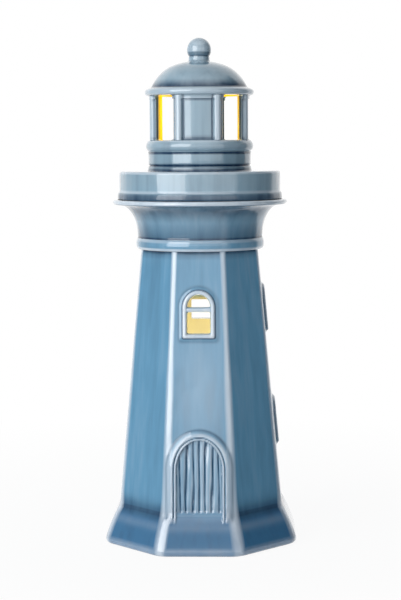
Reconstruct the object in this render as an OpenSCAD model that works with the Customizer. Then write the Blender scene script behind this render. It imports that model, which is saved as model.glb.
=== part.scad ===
// Ceramic garden lighthouse lantern: an eight-sided glazed tower, a lift-off lantern
// top, and the battery tealight that stands inside and lights the windows.
// +Z is up, the front with the door faces -Y, and the origin is the centre of the
// foot, on the surface that the lantern stands on. All sizes are in millimetres.

/* [Tower] */
// Half the width across the flats of the plinth at its widest
plinth_a = 57; // [55:0.1:60]
// Height of the plinth, from the table to the crease where the shaft starts
plinth_h = 22.5; // [19:0.5:28]
// Half the width across the flats of the shaft at the plinth
shaft_bottom_a = 48.6; // [48:0.1:51]
// Half the width across the flats of the shaft under the bead
shaft_top_a = 34.6; // [34.5:0.1:36.5]
// Height of the shaft, from the crease to the bead
shaft_h = 152.7; // [140:0.1:170]
// How much is taken off each upright corner of the octagon
corner_cut = 0.5; // [0.4:0.1:1.8]
// Thickness of the cast ceramic walls
wall = 4; // [3:0.1:5]
// Thickness of the tower's floor
floor_t = 4.5; // [3.5:0.1:6]
// Depth of the recess under the floor, inside the foot ring
foot_recess = 1.5; // [0.8:0.1:2.5]

/* [Cornice] */
// Radius of the round bead at the top of the shaft
bead_r = 38.4; // [37.8:0.1:40]
// Height of the bead
bead_h = 6.5; // [5:0.1:9]
// Height of the hollow cove between the bead and the rim
cove_h = 19; // [15:0.5:22]
// How far the cove spreads from the neck to the rim
cove_out = 11.5; // [10:0.1:12.5]
// Radius of the neck where the cove starts
neck_r = 37.4; // [36.6:0.1:38]
// Radius of the rim that carries the lantern top
rim_r = 52.2; // [51:0.1:54]
// Thickness of the rim
rim_t = 2.9; // [2.4:0.1:3.6]
// Radius of the tower's open mouth
mouth_r = 37; // [36:0.1:38]

/* [Lantern top] */
// Radius of the gallery drum
drum_r = 48.2; // [47:0.1:49.5]
// Height of the gallery drum above its foot
drum_h = 12.7; // [10:0.1:16]
// Height of the drum's foot, which stands out a little
drum_foot_h = 4.2; // [3:0.1:5]
// How far the foot stands out from the drum
drum_foot_out = 1; // [0.3:0.1:1.4]
// Depth of the locating rim that hangs in the tower's mouth
spigot_h = 6; // [4:0.5:8]
// Thickness of the locating rim
spigot_t = 3.5; // [2.5:0.1:4.5]
// Gap between the locating rim and the mouth, on each side
spigot_gap = 0.7; // [0.4:0.1:1.2]
// Radius of the plain band under the lantern windows
band_r = 30.6; // [29.8:0.1:31]
// Height of the step and band under the sill ring
band_h = 11.1; // [8:0.1:15]
// Height of the sill ring
sill_h = 7; // [5:0.1:8]
// Radius of the sill ring
sill_r = 32.1; // [31.8:0.1:33]
// Radius of the lantern room's wall
room_r = 29.2; // [28.6:0.1:29.6]
// Thickness of the lantern room's wall
room_t = 3.4; // [2.6:0.1:4]
// Height of the lantern windows
room_h = 26.4; // [20:0.2:34]
// Width of each lantern window
room_window_w = 15; // [12:0.1:16]
// Radius of the half-round columns
column_r = 2.5; // [2:0.1:2.8]
// Radius of the roof's eave
eave_r = 32.6; // [32.2:0.1:34]
// Height of the eave, from its underside to the dome
eave_h = 5.4; // [4.6:0.1:8]
// Radius of the dome above the eave
dome_r = 28.4; // [27.8:0.1:29.4]
// Height of the dome
dome_h = 14.9; // [13:0.2:20]
// Radius of the finial's ball
ball_r = 7.2; // [6.8:0.1:8.5]
// Radius of the finial's neck
ball_neck_r = 6.2; // [5:0.1:6.4]
// Height of the finial's neck
ball_neck_h = 3.4; // [2:0.1:5]

/* [Windows and door] */
// Half the width of a tower window's panes
pane_a = 6.8; // [5:0.1:8]
// Rise of the arch over a window's upper pane
pane_rise = 7.3; // [6:0.1:8]
// Height of a window's lower pane
pane_h = 12.6; // [9:0.1:16]
// Height of the bar between a window's two panes
bar_h = 2.7; // [2:0.1:4]
// Width of a window's raised frame
frame_w = 2.7; // [2:0.1:3.2]
// How far the window frames and the door frame stand out of the wall
frame_out = 1.7; // [0.8:0.1:2.5]
// Height of the bar of the front window above the table
upper_window_z = 143; // [130:0.5:148]
// Height of the bar of the side's upper window and of the back window above the table
side_window_z = 144; // [134:0.5:148]
// Height of the bar of the side's lower window above the table
lower_window_z = 76; // [70:0.5:84]
// Half the width of the door
door_a = 13.3; // [11:0.1:13.5]
// Height of the door's straight sides above the crease
door_side_h = 26.5; // [20:0.5:32]
// Rise of the door's arch
door_rise = 17.1; // [13:0.1:20]
// Width of the door frame beside the door
door_frame_w = 5.4; // [3.5:0.1:5.6]
// Extra width of the door frame at the top of its arch
door_crown = 0.6; // [0:0.1:1.5]
// Depth of the grooves between the door's planks
plank_groove = 0.55; // [0.3:0.05:0.8]

/* [Tealight] */
// Outer radius of the tealight's cup
cup_r = 19; // [18.5:0.1:20]
// Height of the cup
cup_h = 17; // [16:0.2:20]
// Wall thickness of the cup
cup_t = 1.2; // [1:0.1:1.4]
// How deep the middle of the cup's top is dished
dish_h = 4.4; // [3.5:0.1:4.8]
// Height of the flame above the dish
flame_h = 22; // [18:0.5:28]
// Widest radius of the flame
flame_r = 5.4; // [4.6:0.1:6]
// Radius of the light-emitting diode
led_r = 2.5; // [2.3:0.1:2.6]
// Radius of the coin cell
cell_r = 10; // [9.8:0.1:10]
// Thickness of the coin cell
cell_t = 3.2; // [2.9:0.1:3.3]
// How far the battery cover turns to unlock, in degrees
lock_turn = 30; // [25:1:40]
// Travel of the on-off switch
switch_travel = 3; // [2:0.1:3.4]

/* [Hidden] */
$fn = 96;
glaze_blue = [0.42, 0.57, 0.70];
plastic_ivory = [0.93, 0.91, 0.84];
metal_grey = [0.74, 0.74, 0.72];
sides = 8;
side_turn = 360 / sides;
far = 400;

// Heights of the stacked mouldings
bead_z = plinth_h + shaft_h;
cove_z = bead_z + bead_h + 1;
rim_z = cove_z + cove_h;
seat_z = rim_z + rim_t;
drum_foot_z = seat_z + drum_foot_h;
drum_z = drum_foot_z + drum_h;
sill_z = drum_z + band_h;
room_z = sill_z + sill_h;
eave_z = room_z + room_h;
dome_z = eave_z + eave_h;
neck_z = dome_z + dome_h;
floor_z = foot_recess + floor_t;

// Plinth: a slightly bowed slope that rises from a rounded foot
foot_round = 2;
foot_h = 3.2;
plinth_bow = 0.7;
shaft_lean = atan((shaft_bottom_a - shaft_top_a) / shaft_h);
function shaft_a(z) = shaft_bottom_a - (z - plinth_h) * tan(shaft_lean);

// Windows
window_flange = 2.2;
flange_out = 0.7;

// Points along an arc of an ellipse, from angle a0 to a1
function arc(cx, cy, rx, ry, a0, a1, n) =
    [for (i = [0:n]) let (a = a0 + (a1 - a0) * i / n) [cx + rx * cos(a), cy + ry * sin(a)]];

// A closed outline with a flat foot, upright sides and an arched head
function arched(a, foot_y, rise, n = 20) =
    concat([[-a, foot_y], [a, foot_y]], arc(0, 0, a, rise, 0, 180, n));

function plinth_side(inset) = [for (t = [0:0.125:1])
    [plinth_a - inset + (shaft_bottom_a - plinth_a) * t + plinth_bow * 4 * t * (1 - t),
     foot_h + (plinth_h - foot_h) * t]];

outer_side = concat(
    [[0, 0], [plinth_a - foot_round, 0]],
    arc(plinth_a - foot_round, foot_round, foot_round, foot_round, -70, 0, 4),
    plinth_side(0),
    [[shaft_a(bead_z + bead_h / 2), bead_z + bead_h / 2], [0, bead_z + bead_h / 2]]);

inner_side = concat(
    [[0, floor_z], [plinth_a - wall - 3, floor_z]],
    [for (p = plinth_side(wall)) if (p.y > floor_z + 1) p],
    [[shaft_a(bead_z + 1) - wall, bead_z + 1], [0, bead_z + 1]]);

// A bar that runs both ways along Y, with the same outline on its left and its right
module mirrored_bar(side) {
    rotate([90, 0, 0]) linear_extrude(height = far, center = true)
        polygon(concat(side, [for (k = [len(side) - 1:-1:0]) [-side[k].x, side[k].y]]));
}

// A solid with eight sides that all have the same outline
module eight_sided(side) {
    intersection_for (i = [0:sides / 2 - 1])
        rotate([0, 0, i * side_turn]) mirrored_bar(side);
}

// The same solid with its eight upright corners planed off
module eight_sided_planed(side, cut) {
    lift = 0.3;
    corner = [for (p = side) [max(0, p.x / cos(side_turn / 2) - cut), p.y + lift]];
    intersection() {
        eight_sided(side);
        rotate([0, 0, side_turn / 2])
            eight_sided(concat([[0, -1], [corner[1].x, -1]], [for (p = corner) if (p.x > 0) p],
                [[0, side[len(side) - 1].y + 1]]));
    }
}

// Places its children on a side of the shaft: X along the wall, Y up it, Z out of it
module on_side(turn, z) {
    rotate([0, 0, turn])
        translate([0, -shaft_a(z), z])
            rotate([90 - shaft_lean, 0, 0]) children();
}

module cornice_outer() {
    rotate_extrude() polygon(concat(
        [[0, bead_z], [shaft_top_a + 1, bead_z]],
        [[bead_r - 0.9, bead_z + 0.3]],
        arc(bead_r - 1.2, bead_z + bead_h / 2, 1.2, bead_h / 2 - 0.5, -60, 60, 6),
        [[neck_r, cove_z - 1]],
        arc(neck_r + cove_out, cove_z, cove_out, cove_h, 180, 95, 10),
        arc(rim_r - rim_t / 2, rim_z + rim_t / 2 + 0.2, rim_t / 2, rim_t / 2, -70, 60, 6),
        [[rim_r - 2, seat_z], [0, seat_z]]));
}

module cornice_inner() {
    centre_r = neck_r + cove_out;
    mouth_turn = 180 - acos((centre_r - mouth_r) / (cove_out + wall));
    rotate_extrude() polygon(concat(
        [[0, bead_z + 0.5], [neck_r - wall, bead_z + 0.5]],
        arc(centre_r, cove_z, cove_out + wall, cove_h + wall, 180, mouth_turn, 6),
        [[mouth_r, seat_z + 1], [0, seat_z + 1]]));
}

module window_frame(turn, z) {
    on_side(turn, z) difference() {
        union() {
            translate([0, 0, -1]) linear_extrude(height = 1 + flange_out)
                polygon(arched(pane_a + frame_w + window_flange,
                    -bar_h - pane_h - frame_w - window_flange, pane_rise + frame_w + window_flange));
            translate([0, 0, -1]) linear_extrude(height = 1 + frame_out)
                polygon(arched(pane_a + frame_w, -bar_h - pane_h - frame_w, pane_rise + frame_w));
        }
    }
}

module window_cut(turn, z) {
    on_side(turn, z) translate([0, 0, -3 * wall]) {
        linear_extrude(height = 6 * wall) polygon(arched(pane_a, 0, pane_rise));
        translate([-pane_a, -bar_h - pane_h, 0]) cube([2 * pane_a, pane_h, 6 * wall]);
    }
}

// Every window as [turn, height of its bar]
windows = [[0, upper_window_z], [90, side_window_z], [180, side_window_z],
           [90, lower_window_z]];

door_z = plinth_h + door_side_h;
door_panel_in = 0.4;
door_planks = 7;

module door_frame() {
    on_side(0, door_z) translate([0, 0, -1]) {
        linear_extrude(height = 1 + frame_out * 0.55)
            polygon(arched(door_a + door_frame_w, -door_side_h - 1,
                door_rise + door_frame_w + door_crown));
        linear_extrude(height = 1 + frame_out)
            polygon(arched(door_a + door_frame_w - 1, -door_side_h - 1,
                door_rise + door_frame_w + door_crown - 1));
    }
}

module door_cut() {
    plank_w = 2 * door_a / door_planks;
    on_side(0, door_z) {
        translate([0, 0, -door_panel_in]) linear_extrude(height = 3 * frame_out)
            polygon(arched(door_a, -door_side_h + 1.5, door_rise));
        translate([0, 0, frame_out * 0.5]) linear_extrude(height = 3 * frame_out)
            polygon(arched(door_a + 1.4, -door_side_h + 1.5, door_rise + 1.6));
        for (i = [1:door_planks - 1]) {
            x = -door_a + i * plank_w;
            head = door_rise * sqrt(1 - pow(x / door_a, 2)) - 2.4;
            translate([x, -door_side_h + 2.6, -door_panel_in])
                rotate([-90, 0, 0])
                    cylinder(r = plank_groove, h = door_side_h - 2.6 + head, $fn = 24);
        }
    }
}

// The dome is a little flatter in its flanks than an ellipse
dome_flat = 0.06;
dome_side = [for (a = [0:5:75]) let (t = sin(a))
    [dome_r * cos(a) * (1 - 4 * dome_flat * t * (1 - t)), dome_z + (dome_h + 0.3) * t]];

module tower() {
    color(glaze_blue) difference() {
        union() {
            difference() {
                union() {
                    eight_sided_planed(outer_side, corner_cut);
                    cornice_outer();
                }
                eight_sided_planed(inner_side, corner_cut);
                cornice_inner();
                translate([0, 0, -1])
                    rotate([0, 0, side_turn / 2])
                        cylinder(r = (plinth_a - 8) / cos(side_turn / 2), h = 1 + foot_recess, $fn = sides);
            }
            for (w = windows) window_frame(w[0], w[1]);
            door_frame();
        }
        for (w = windows) window_cut(w[0], w[1]);
        door_cut();
    }
}

module lantern_top() {
    spigot_r = mouth_r - spigot_gap;
    edge = 1.6;
    groove = 0.8;
    room_in = room_r - room_t;
    ball_z = neck_z + ball_neck_h + sqrt(pow(ball_r, 2) - pow(ball_neck_r + 0.2, 2));
    color(glaze_blue) difference() {
        union() {
            rotate_extrude() polygon(concat(
                // outside, from the locating rim upwards
                [[spigot_r - spigot_t, seat_z - spigot_h], [spigot_r - 0.5, seat_z - spigot_h],
                 [spigot_r, seat_z - spigot_h + 0.5], [spigot_r, seat_z]],
                [[drum_r + drum_foot_out - 0.4, seat_z], [drum_r + drum_foot_out, seat_z + 0.6],
                 [drum_r + drum_foot_out, drum_foot_z - 0.5], [drum_r, drum_foot_z + 1]],
                arc(drum_r - edge, drum_z - edge, edge, edge, 0, 90, 5),
                [[band_r + 0.2, drum_z], [band_r + 0.2, drum_z + 2.6],
                 [band_r - groove, drum_z + 2.9], [band_r - groove, drum_z + 3.4],
                 [band_r, drum_z + 4], [band_r, sill_z - 0.4]],
                arc(sill_r - sill_h / 2 + 0.6, sill_z + sill_h / 2, sill_h / 2 - 0.6, sill_h / 2, -70, 70, 8),
                [[room_r + column_r - 0.2, room_z], [room_r, room_z], [room_r, eave_z - 2.4],
                 [room_r + 0.8, eave_z - 2.3], [room_r + 0.8, eave_z]],
                arc(eave_r - 1.6, eave_z + 1.9, 1.6, 1.9, -85, 55, 6),
                [[dome_r + 1.4, dome_z - 1], [dome_r + 0.2, dome_z - 0.3]],
                dome_side,
                [[ball_neck_r, neck_z + 0.5], [ball_neck_r, neck_z + ball_neck_h]],
                arc(0, ball_z, ball_r, ball_r, -asin((ball_z - neck_z - ball_neck_h) / ball_r), 90, 14),
                // inside, from the top of the dome downwards
                [[0, neck_z - wall]],
                arc(0, dome_z - 1, dome_r - wall - 0.4, dome_h - wall + 0.4, 75, 0, 8),
                [[room_in, dome_z - 2.5], [room_in, drum_z - wall], [drum_r - wall, drum_z - wall],
                 [drum_r - wall, seat_z + wall], [spigot_r - spigot_t, seat_z + wall]]));
            for (i = [0:sides - 1])
                rotate([0, 0, (i + 0.5) * side_turn])
                    translate([0, -(room_r - 0.5), room_z - 0.5])
                        cylinder(r = column_r, h = room_h + 1, $fn = 32);
        }
        // The windows look out over the tower's four corners
        for (i = [0:sides / 2 - 1])
            rotate([0, 0, (2 * i + 1) * side_turn])
                translate([-room_window_w / 2, -room_r - 2 * column_r, room_z])
                    cube([room_window_w, room_r + 2 * column_r - room_in / 2, room_h]);
        translate([0, 0, drum_z - wall])
            cylinder(r = room_in, h = eave_z + eave_h - 2.5 - drum_z + wall);
    }
}

// The tealight: cell pocket and bayonet cover below, board and diode above
base_z = floor_z + 0.6;
base_t = 1.2;
cover_gap = 0.15;
lug_t = 0.7;
lug_out = 0.8;
lug_w = 3.8;
pocket_x = -4.4;
pocket_t = 0.8;
groove_h = lug_t + 2 * cover_gap;
cover_r = cell_r + 0.6;
hole_r = cover_r + cover_gap;
pocket_r = hole_r + lug_out + cover_gap;
cell_z = base_z + base_t + groove_h;
board_t = 1;
board_z = cell_z + cell_t + 1.4;
board_x = [-16.6, 14.6];
board_a = 5;
post_r = 1;
board_posts = [[pocket_x + pocket_r + pocket_t + post_r - 0.3, 3.8],
               [pocket_x + pocket_r + pocket_t + post_r - 0.3, -3.8],
               [pocket_x - pocket_r - pocket_t + 0.4, 0]];
led_z = board_z + board_t + 1.2;
dish_z = floor_z + cup_h - dish_h;
hole_gap = 0.35;
collar_r = led_r + 0.9;
screw_at = [2.6, 14.5];
screw_r = 0.8;
head_r = 1.5;
head_h = 0.7;
boss_r = 2;
boss_top = floor_z + cup_h - 0.93 * dish_h;
screw_l = 0.55 * (boss_top - base_z);
switch_at = [12, 0];
switch_l = 8.4;
switch_w = 3.6;
switch_h = 3.2;
knob_w = 1.5;
knob_l = 2;
contact_w = 3;
contact_t = 0.25;

module tealight_cup() {
    color(plastic_ivory) difference() {
        union() {
            translate([0, 0, floor_z]) rotate_extrude() polygon(concat(
                [[cup_r - cup_t, 0], [cup_r - 0.3, 0], [cup_r, 0.3]],
                arc(cup_r - 0.6, cup_h - 0.6, 0.6, 0.6, 0, 180, 8),
                arc(collar_r + 2.2, cup_h - 1.2, cup_r - collar_r - 3.9, dish_h - 1.2, 0, -90, 8),
                [[collar_r + hole_gap / 2, cup_h - dish_h], [collar_r + hole_gap / 2, cup_h - dish_h - cup_t]],
                arc(collar_r + 2.2, cup_h - 1.2 - cup_t, cup_r - collar_r - 3.9, dish_h - 1.2, -90, -15, 8),
                [[cup_r - cup_t, cup_h - 3]]));
            for (s = [-1, 1])
                translate([screw_at.x, s * screw_at.y, base_z + base_t])
                    cylinder(r = boss_r, h = boss_top - base_z - base_t, $fn = 32);
        }
        for (s = [-1, 1])
            translate([screw_at.x, s * screw_at.y, base_z])
                cylinder(r = screw_r + 0.05, h = screw_l + head_h, $fn = 24);
    }
}

module flame_cap() {
    t = 0.9;
    top = dish_z + flame_h;
    color([1, 0.86, 0.55, 0.8]) rotate_extrude() polygon(concat(
        [[collar_r - 0.6, dish_z - 1], [collar_r, dish_z - 1], [collar_r, dish_z],
         [collar_r + 1, dish_z], [flame_r * 0.93, dish_z + flame_h * 0.14],
         [flame_r, dish_z + flame_h * 0.26], [flame_r * 0.9, dish_z + flame_h * 0.42],
         [flame_r * 0.62, dish_z + flame_h * 0.64], [flame_r * 0.3, dish_z + flame_h * 0.85],
         [flame_r * 0.1, top - 0.3], [0, top]],
        [[0, dish_z + flame_h * 0.8], [flame_r * 0.62 - t, dish_z + flame_h * 0.6],
         [flame_r * 0.9 - t, dish_z + flame_h * 0.41], [flame_r - t, dish_z + flame_h * 0.26],
         [flame_r * 0.93 - t, dish_z + flame_h * 0.15], [collar_r - 0.6, dish_z + 0.8]]));
}

module led() {
    body_h = 6.2;
    color([0.98, 0.9, 0.7, 0.9]) translate([0, 0, led_z]) {
        cylinder(r = led_r + 0.4, h = 1, $fn = 48);
        cylinder(r = led_r, h = body_h, $fn = 48);
        translate([0, 0, body_h]) sphere(r = led_r, $fn = 48);
    }
}

module led_leads() {
    side = 0.5;
    pitch = 2.54;
    color(metal_grey) for (s = [-1, 1])
        translate([s * pitch / 2 - side / 2, -side / 2, board_z - 0.5])
            cube([side, side, led_z - board_z + 0.5]);
}

module circuit_board() {
    color([0.13, 0.36, 0.2]) difference() {
        translate([board_x[0], -board_a, board_z])
            cube([board_x[1] - board_x[0], 2 * board_a, board_t]);
        for (s = [-1, 1])
            translate([s * 1.27, 0, board_z - 1]) cylinder(r = 0.4, h = 3, $fn = 24);
    }
}

module resistor() {
    color([0.12, 0.12, 0.13]) translate([4.6, -1, board_z + board_t]) cube([3.2, 1.6, 0.6]);
}

module switch_case() {
    z = board_z - switch_h;
    slot = switch_travel + knob_l + 0.4;
    color(metal_grey) difference() {
        translate([switch_at.x - switch_w / 2, -switch_l / 2, z]) cube([switch_w, switch_l, switch_h]);
        translate([switch_at.x - knob_w / 2 - 0.15, -slot / 2, z - switch_h / 4])
            cube([knob_w + 0.3, slot, switch_h * 0.65]);
    }
}

// The knob rests at the end of its travel where the light is on
module switch_knob() {
    z = board_z - switch_h;
    color([0.1, 0.1, 0.1])
        translate([switch_at.x - knob_w / 2, -switch_travel / 2 - knob_l / 2, base_z + 0.1])
            cube([knob_w, knob_l, z + 1 - base_z - 0.1]);
}

module negative_contact() {
    leaf_x = [-8, 1];
    color(metal_grey) translate([0, contact_w / 2, 0]) rotate([90, 0, 0])
        linear_extrude(height = contact_w) polygon([
            [leaf_x[0], board_z], [leaf_x[0], board_z - contact_t], [leaf_x[0] + 2.5, board_z - contact_t],
            [leaf_x[1] - 2.2, cell_z + cell_t], [leaf_x[1] - 0.6, cell_z + cell_t],
            [leaf_x[1], cell_z + cell_t + 0.5], [leaf_x[1] - 0.2, cell_z + cell_t + 0.7],
            [leaf_x[1] - 0.8, cell_z + cell_t + contact_t], [leaf_x[1] - 2.1, cell_z + cell_t + contact_t],
            [leaf_x[0] + 2.7, board_z]]);
}

module positive_contact() {
    color(metal_grey) translate([pocket_x - contact_w / 2, 0, 0]) {
        translate([0, board_a - 1.5, board_z - contact_t])
            cube([contact_w, cell_r + 0.03 + contact_t - board_a + 1.5, contact_t]);
        translate([0, cell_r + 0.03, cell_z + 0.6])
            cube([contact_w, contact_t, board_z - cell_z - 0.6]);
    }
}

module coin_cell() {
    color([0.8, 0.8, 0.8]) translate([pocket_x, 0, cell_z]) {
        cylinder(r = cell_r, h = cell_t - 0.5);
        cylinder(r = cell_r - 1.2, h = cell_t);
    }
}

module base_cover() {
    color(plastic_ivory) difference() {
        union() {
            translate([0, 0, base_z]) cylinder(r = cup_r - cup_t - 0.2, h = base_t);
            translate([pocket_x, 0, base_z])
                cylinder(r = pocket_r + pocket_t, h = cell_z + cell_t - 0.8 - base_z);
            for (at = board_posts)
                translate([at.x, at.y, base_z]) cylinder(r = post_r, h = board_z - base_z, $fn = 24);
        }
        translate([pocket_x, 0, base_z - base_t]) cylinder(r = hole_r, h = cup_h);
        translate([pocket_x, 0, base_z + base_t]) cylinder(r = pocket_r, h = groove_h);
        // Notches that let the cover's lugs in and out
        for (s = [0, 180])
            translate([pocket_x, 0, base_z - base_t]) rotate([0, 0, lock_turn + s])
                translate([cover_r / 2, -lug_w / 2 - 2 * cover_gap, 0])
                    cube([cover_r / 2 + lug_out + 2 * cover_gap, lug_w + 4 * cover_gap, 2 * base_t + groove_h / 2]);
        translate([pocket_x - contact_w / 2 - 0.3, cell_r - 1, cell_z])
            cube([contact_w + 0.6, pocket_r + pocket_t - cell_r + 2, cup_h]);
        translate([switch_at.x - knob_w / 2 - 0.3, -switch_travel / 2 - knob_l / 2 - 0.3, base_z - base_t])
            cube([knob_w + 0.6, switch_travel + knob_l + 0.6, 3 * base_t]);
        for (s = [-1, 1])
            translate([screw_at.x, s * screw_at.y, base_z - base_t]) {
                cylinder(r = screw_r + 0.2, h = 3 * base_t, $fn = 32);
                cylinder(r = head_r + 0.25, h = base_t + head_h, $fn = 32);
            }
    }
}

module base_screws() {
    color(metal_grey) for (s = [-1, 1])
        translate([screw_at.x, s * screw_at.y, 0]) difference() {
            union() {
                translate([0, 0, base_z]) cylinder(r = head_r, h = head_h, $fn = 32);
                translate([0, 0, base_z]) cylinder(r = screw_r, h = screw_l, $fn = 24);
            }
            for (a = [0, 90])
                translate([0, 0, base_z]) rotate([0, 0, a])
                    cube([head_r * 1.15, head_r * 0.24, head_h * 0.9], center = true);
        }
}

module battery_cover() {
    slot_l = 9;
    slot_w = 1.5;
    lug_z = base_z + base_t + cover_gap;
    color([0.88, 0.86, 0.79]) translate([pocket_x, 0, 0]) difference() {
        union() {
            translate([0, 0, base_z + 0.1]) cylinder(r = cover_r, h = lug_z + lug_t - base_z - 0.1);
            for (s = [0, 180])
                rotate([0, 0, s]) intersection() {
                    translate([cover_r / 2, -lug_w / 2, lug_z]) cube([cover_r / 2 + lug_out, lug_w, lug_t]);
                    translate([0, 0, lug_z]) cylinder(r = cover_r + lug_out, h = lug_t);
                }
        }
        translate([-slot_l / 2, -slot_w / 2, base_z - base_t])
            cube([slot_l, slot_w, base_t + cover_gap + lug_t]);
    }
}

tower();
lantern_top();
tealight_cup();
flame_cap();
led();
led_leads();
circuit_board();
resistor();
switch_case();
switch_knob();
negative_contact();
positive_contact();
coin_cell();
base_cover();
base_screws();
battery_cover();
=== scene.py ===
"""The looks of a glazed ceramic lighthouse lantern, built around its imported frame.

The castings and the tealight are laid out in millimetres, and a mesh is brought to metres last.
The finishes, the lamps and the studio are in metres.
"""

import logging
import math
from dataclasses import dataclass
from enum import Enum
from typing import Any, Union

import bmesh
import bpy
import numpy as np
from mathutils import Matrix, Vector
from mathutils.kdtree import KDTree


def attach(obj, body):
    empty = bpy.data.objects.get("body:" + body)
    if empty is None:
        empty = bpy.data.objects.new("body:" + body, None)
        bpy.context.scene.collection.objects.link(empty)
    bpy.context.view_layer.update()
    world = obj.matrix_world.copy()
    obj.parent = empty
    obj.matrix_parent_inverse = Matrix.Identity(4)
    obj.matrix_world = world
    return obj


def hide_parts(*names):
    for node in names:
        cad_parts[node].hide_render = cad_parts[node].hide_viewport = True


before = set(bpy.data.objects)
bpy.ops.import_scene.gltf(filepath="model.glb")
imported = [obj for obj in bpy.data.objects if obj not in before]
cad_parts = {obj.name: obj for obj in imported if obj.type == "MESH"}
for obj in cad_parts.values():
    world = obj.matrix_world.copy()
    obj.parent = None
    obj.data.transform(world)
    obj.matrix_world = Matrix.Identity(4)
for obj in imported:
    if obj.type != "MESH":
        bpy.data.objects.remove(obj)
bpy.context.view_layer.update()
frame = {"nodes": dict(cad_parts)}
LOG = logging.getLogger("lantern")
MM = 0.001
EIGHTH = 45.0
MERGE = 1e-4
PAINTS = ("edge", "pool", "gold", "bare")
Triple = tuple[float, float, float]
Rgb = Triple
Point = tuple[float, float]
Field = Union[float, np.ndarray]
Number = Union[float, "Value"]


def smooth(low: float, high: float, x: Field) -> Field:
    """A soft step from 0 at low to 1 at high."""
    t = np.clip((x - low) / (high - low), 0.0, 1.0)
    return t * t * (3.0 - 2.0 * t)


def ridge(u: np.ndarray, power: float = 2.4) -> np.ndarray:
    """The section of a rounded bead: 1 in its middle, 0 where u reaches -1 or 1."""
    return np.sqrt(np.maximum(0.0, 1.0 - np.abs(u) ** power))


def mound(x: Field, middle: float, reach: float) -> Field:
    """A soft mound: 1 at its middle, and nearly nothing at twice its reach."""
    return np.exp(-(((x - middle) / reach) ** 2))


def lines(*points: float, step: float) -> list[float]:
    """Evenly spaced values through some points.

    Args:
        points: the values to pass through, in order.
        step: the most that two neighbours may be apart.

    Returns:
        The values, with both ends.
    """
    found = [points[0]]
    for low, high in zip(points, points[1:]):
        count = max(1, math.ceil(abs(high - low) / step))
        found += [low + (high - low) * (i + 1) / count for i in range(count)]
    return found


# ---------------------------------------------------------------------------------------
# Shader maths and finishes
# ---------------------------------------------------------------------------------------


class Maths(Enum):
    """The sums that a Value can do."""

    ADD = "ADD"
    TAKE = "SUBTRACT"
    TIMES = "MULTIPLY"
    OVER = "DIVIDE"
    POWER = "POWER"
    LEAST = "MINIMUM"
    MOST = "MAXIMUM"
    SINE = "SINE"


class Ray(Enum):
    """The kinds of ray that Light Path tells apart."""

    CAMERA = "Is Camera Ray"
    THROUGH = "Is Transmission Ray"
    GLOSSY = "Is Glossy Ray"


class Value:
    """A number that varies over a surface, with Python's arithmetic."""

    def __init__(self, sheet: "Sheet", socket: bpy.types.NodeSocket) -> None:
        """Wraps an output socket of the sheet's tree."""
        self.sheet = sheet
        self.socket = socket

    def sum(self, kind: Maths, a: Number, b: Number = 0.0) -> "Value":
        """Adds a Math node.

        Args:
            kind: the sum to do.
            a: its first number.
            b: its second number.

        Returns:
            The sum's result.
        """
        made = self.sheet.node("ShaderNodeMath", {"operation": kind.value}, {0: a, 1: b})
        return Value(self.sheet, made.outputs[0])

    def __add__(self, other: Number) -> "Value":
        """self + other."""
        return self.sum(Maths.ADD, self, other)

    def __radd__(self, other: Number) -> "Value":
        """other + self."""
        return self.sum(Maths.ADD, other, self)

    def __sub__(self, other: Number) -> "Value":
        """self - other."""
        return self.sum(Maths.TAKE, self, other)

    def __rsub__(self, other: Number) -> "Value":
        """other - self."""
        return self.sum(Maths.TAKE, other, self)

    def __mul__(self, other: Number) -> "Value":
        """self * other."""
        return self.sum(Maths.TIMES, self, other)

    def __rmul__(self, other: Number) -> "Value":
        """other * self."""
        return self.sum(Maths.TIMES, other, self)

    def __truediv__(self, other: Number) -> "Value":
        """self / other."""
        return self.sum(Maths.OVER, self, other)

    def __rtruediv__(self, other: Number) -> "Value":
        """other / self."""
        return self.sum(Maths.OVER, other, self)

    def __pow__(self, other: Number) -> "Value":
        """self to a power."""
        return self.sum(Maths.POWER, self, other)

    def __rpow__(self, other: Number) -> "Value":
        """A number to the power of self."""
        return self.sum(Maths.POWER, other, self)

    def clamped(self) -> "Value":
        """The value held between 0 and 1."""
        return self.sum(Maths.MOST, self.sum(Maths.LEAST, self, 1.0), 0.0)

    def sine(self) -> "Value":
        """The sine of the value."""
        return self.sum(Maths.SINE, self)

    def between(self, low: float, high: float) -> "Value":
        """0 below low, 1 above high, and a straight line between them."""
        return ((self - low) / (high - low)).clamped()


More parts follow.
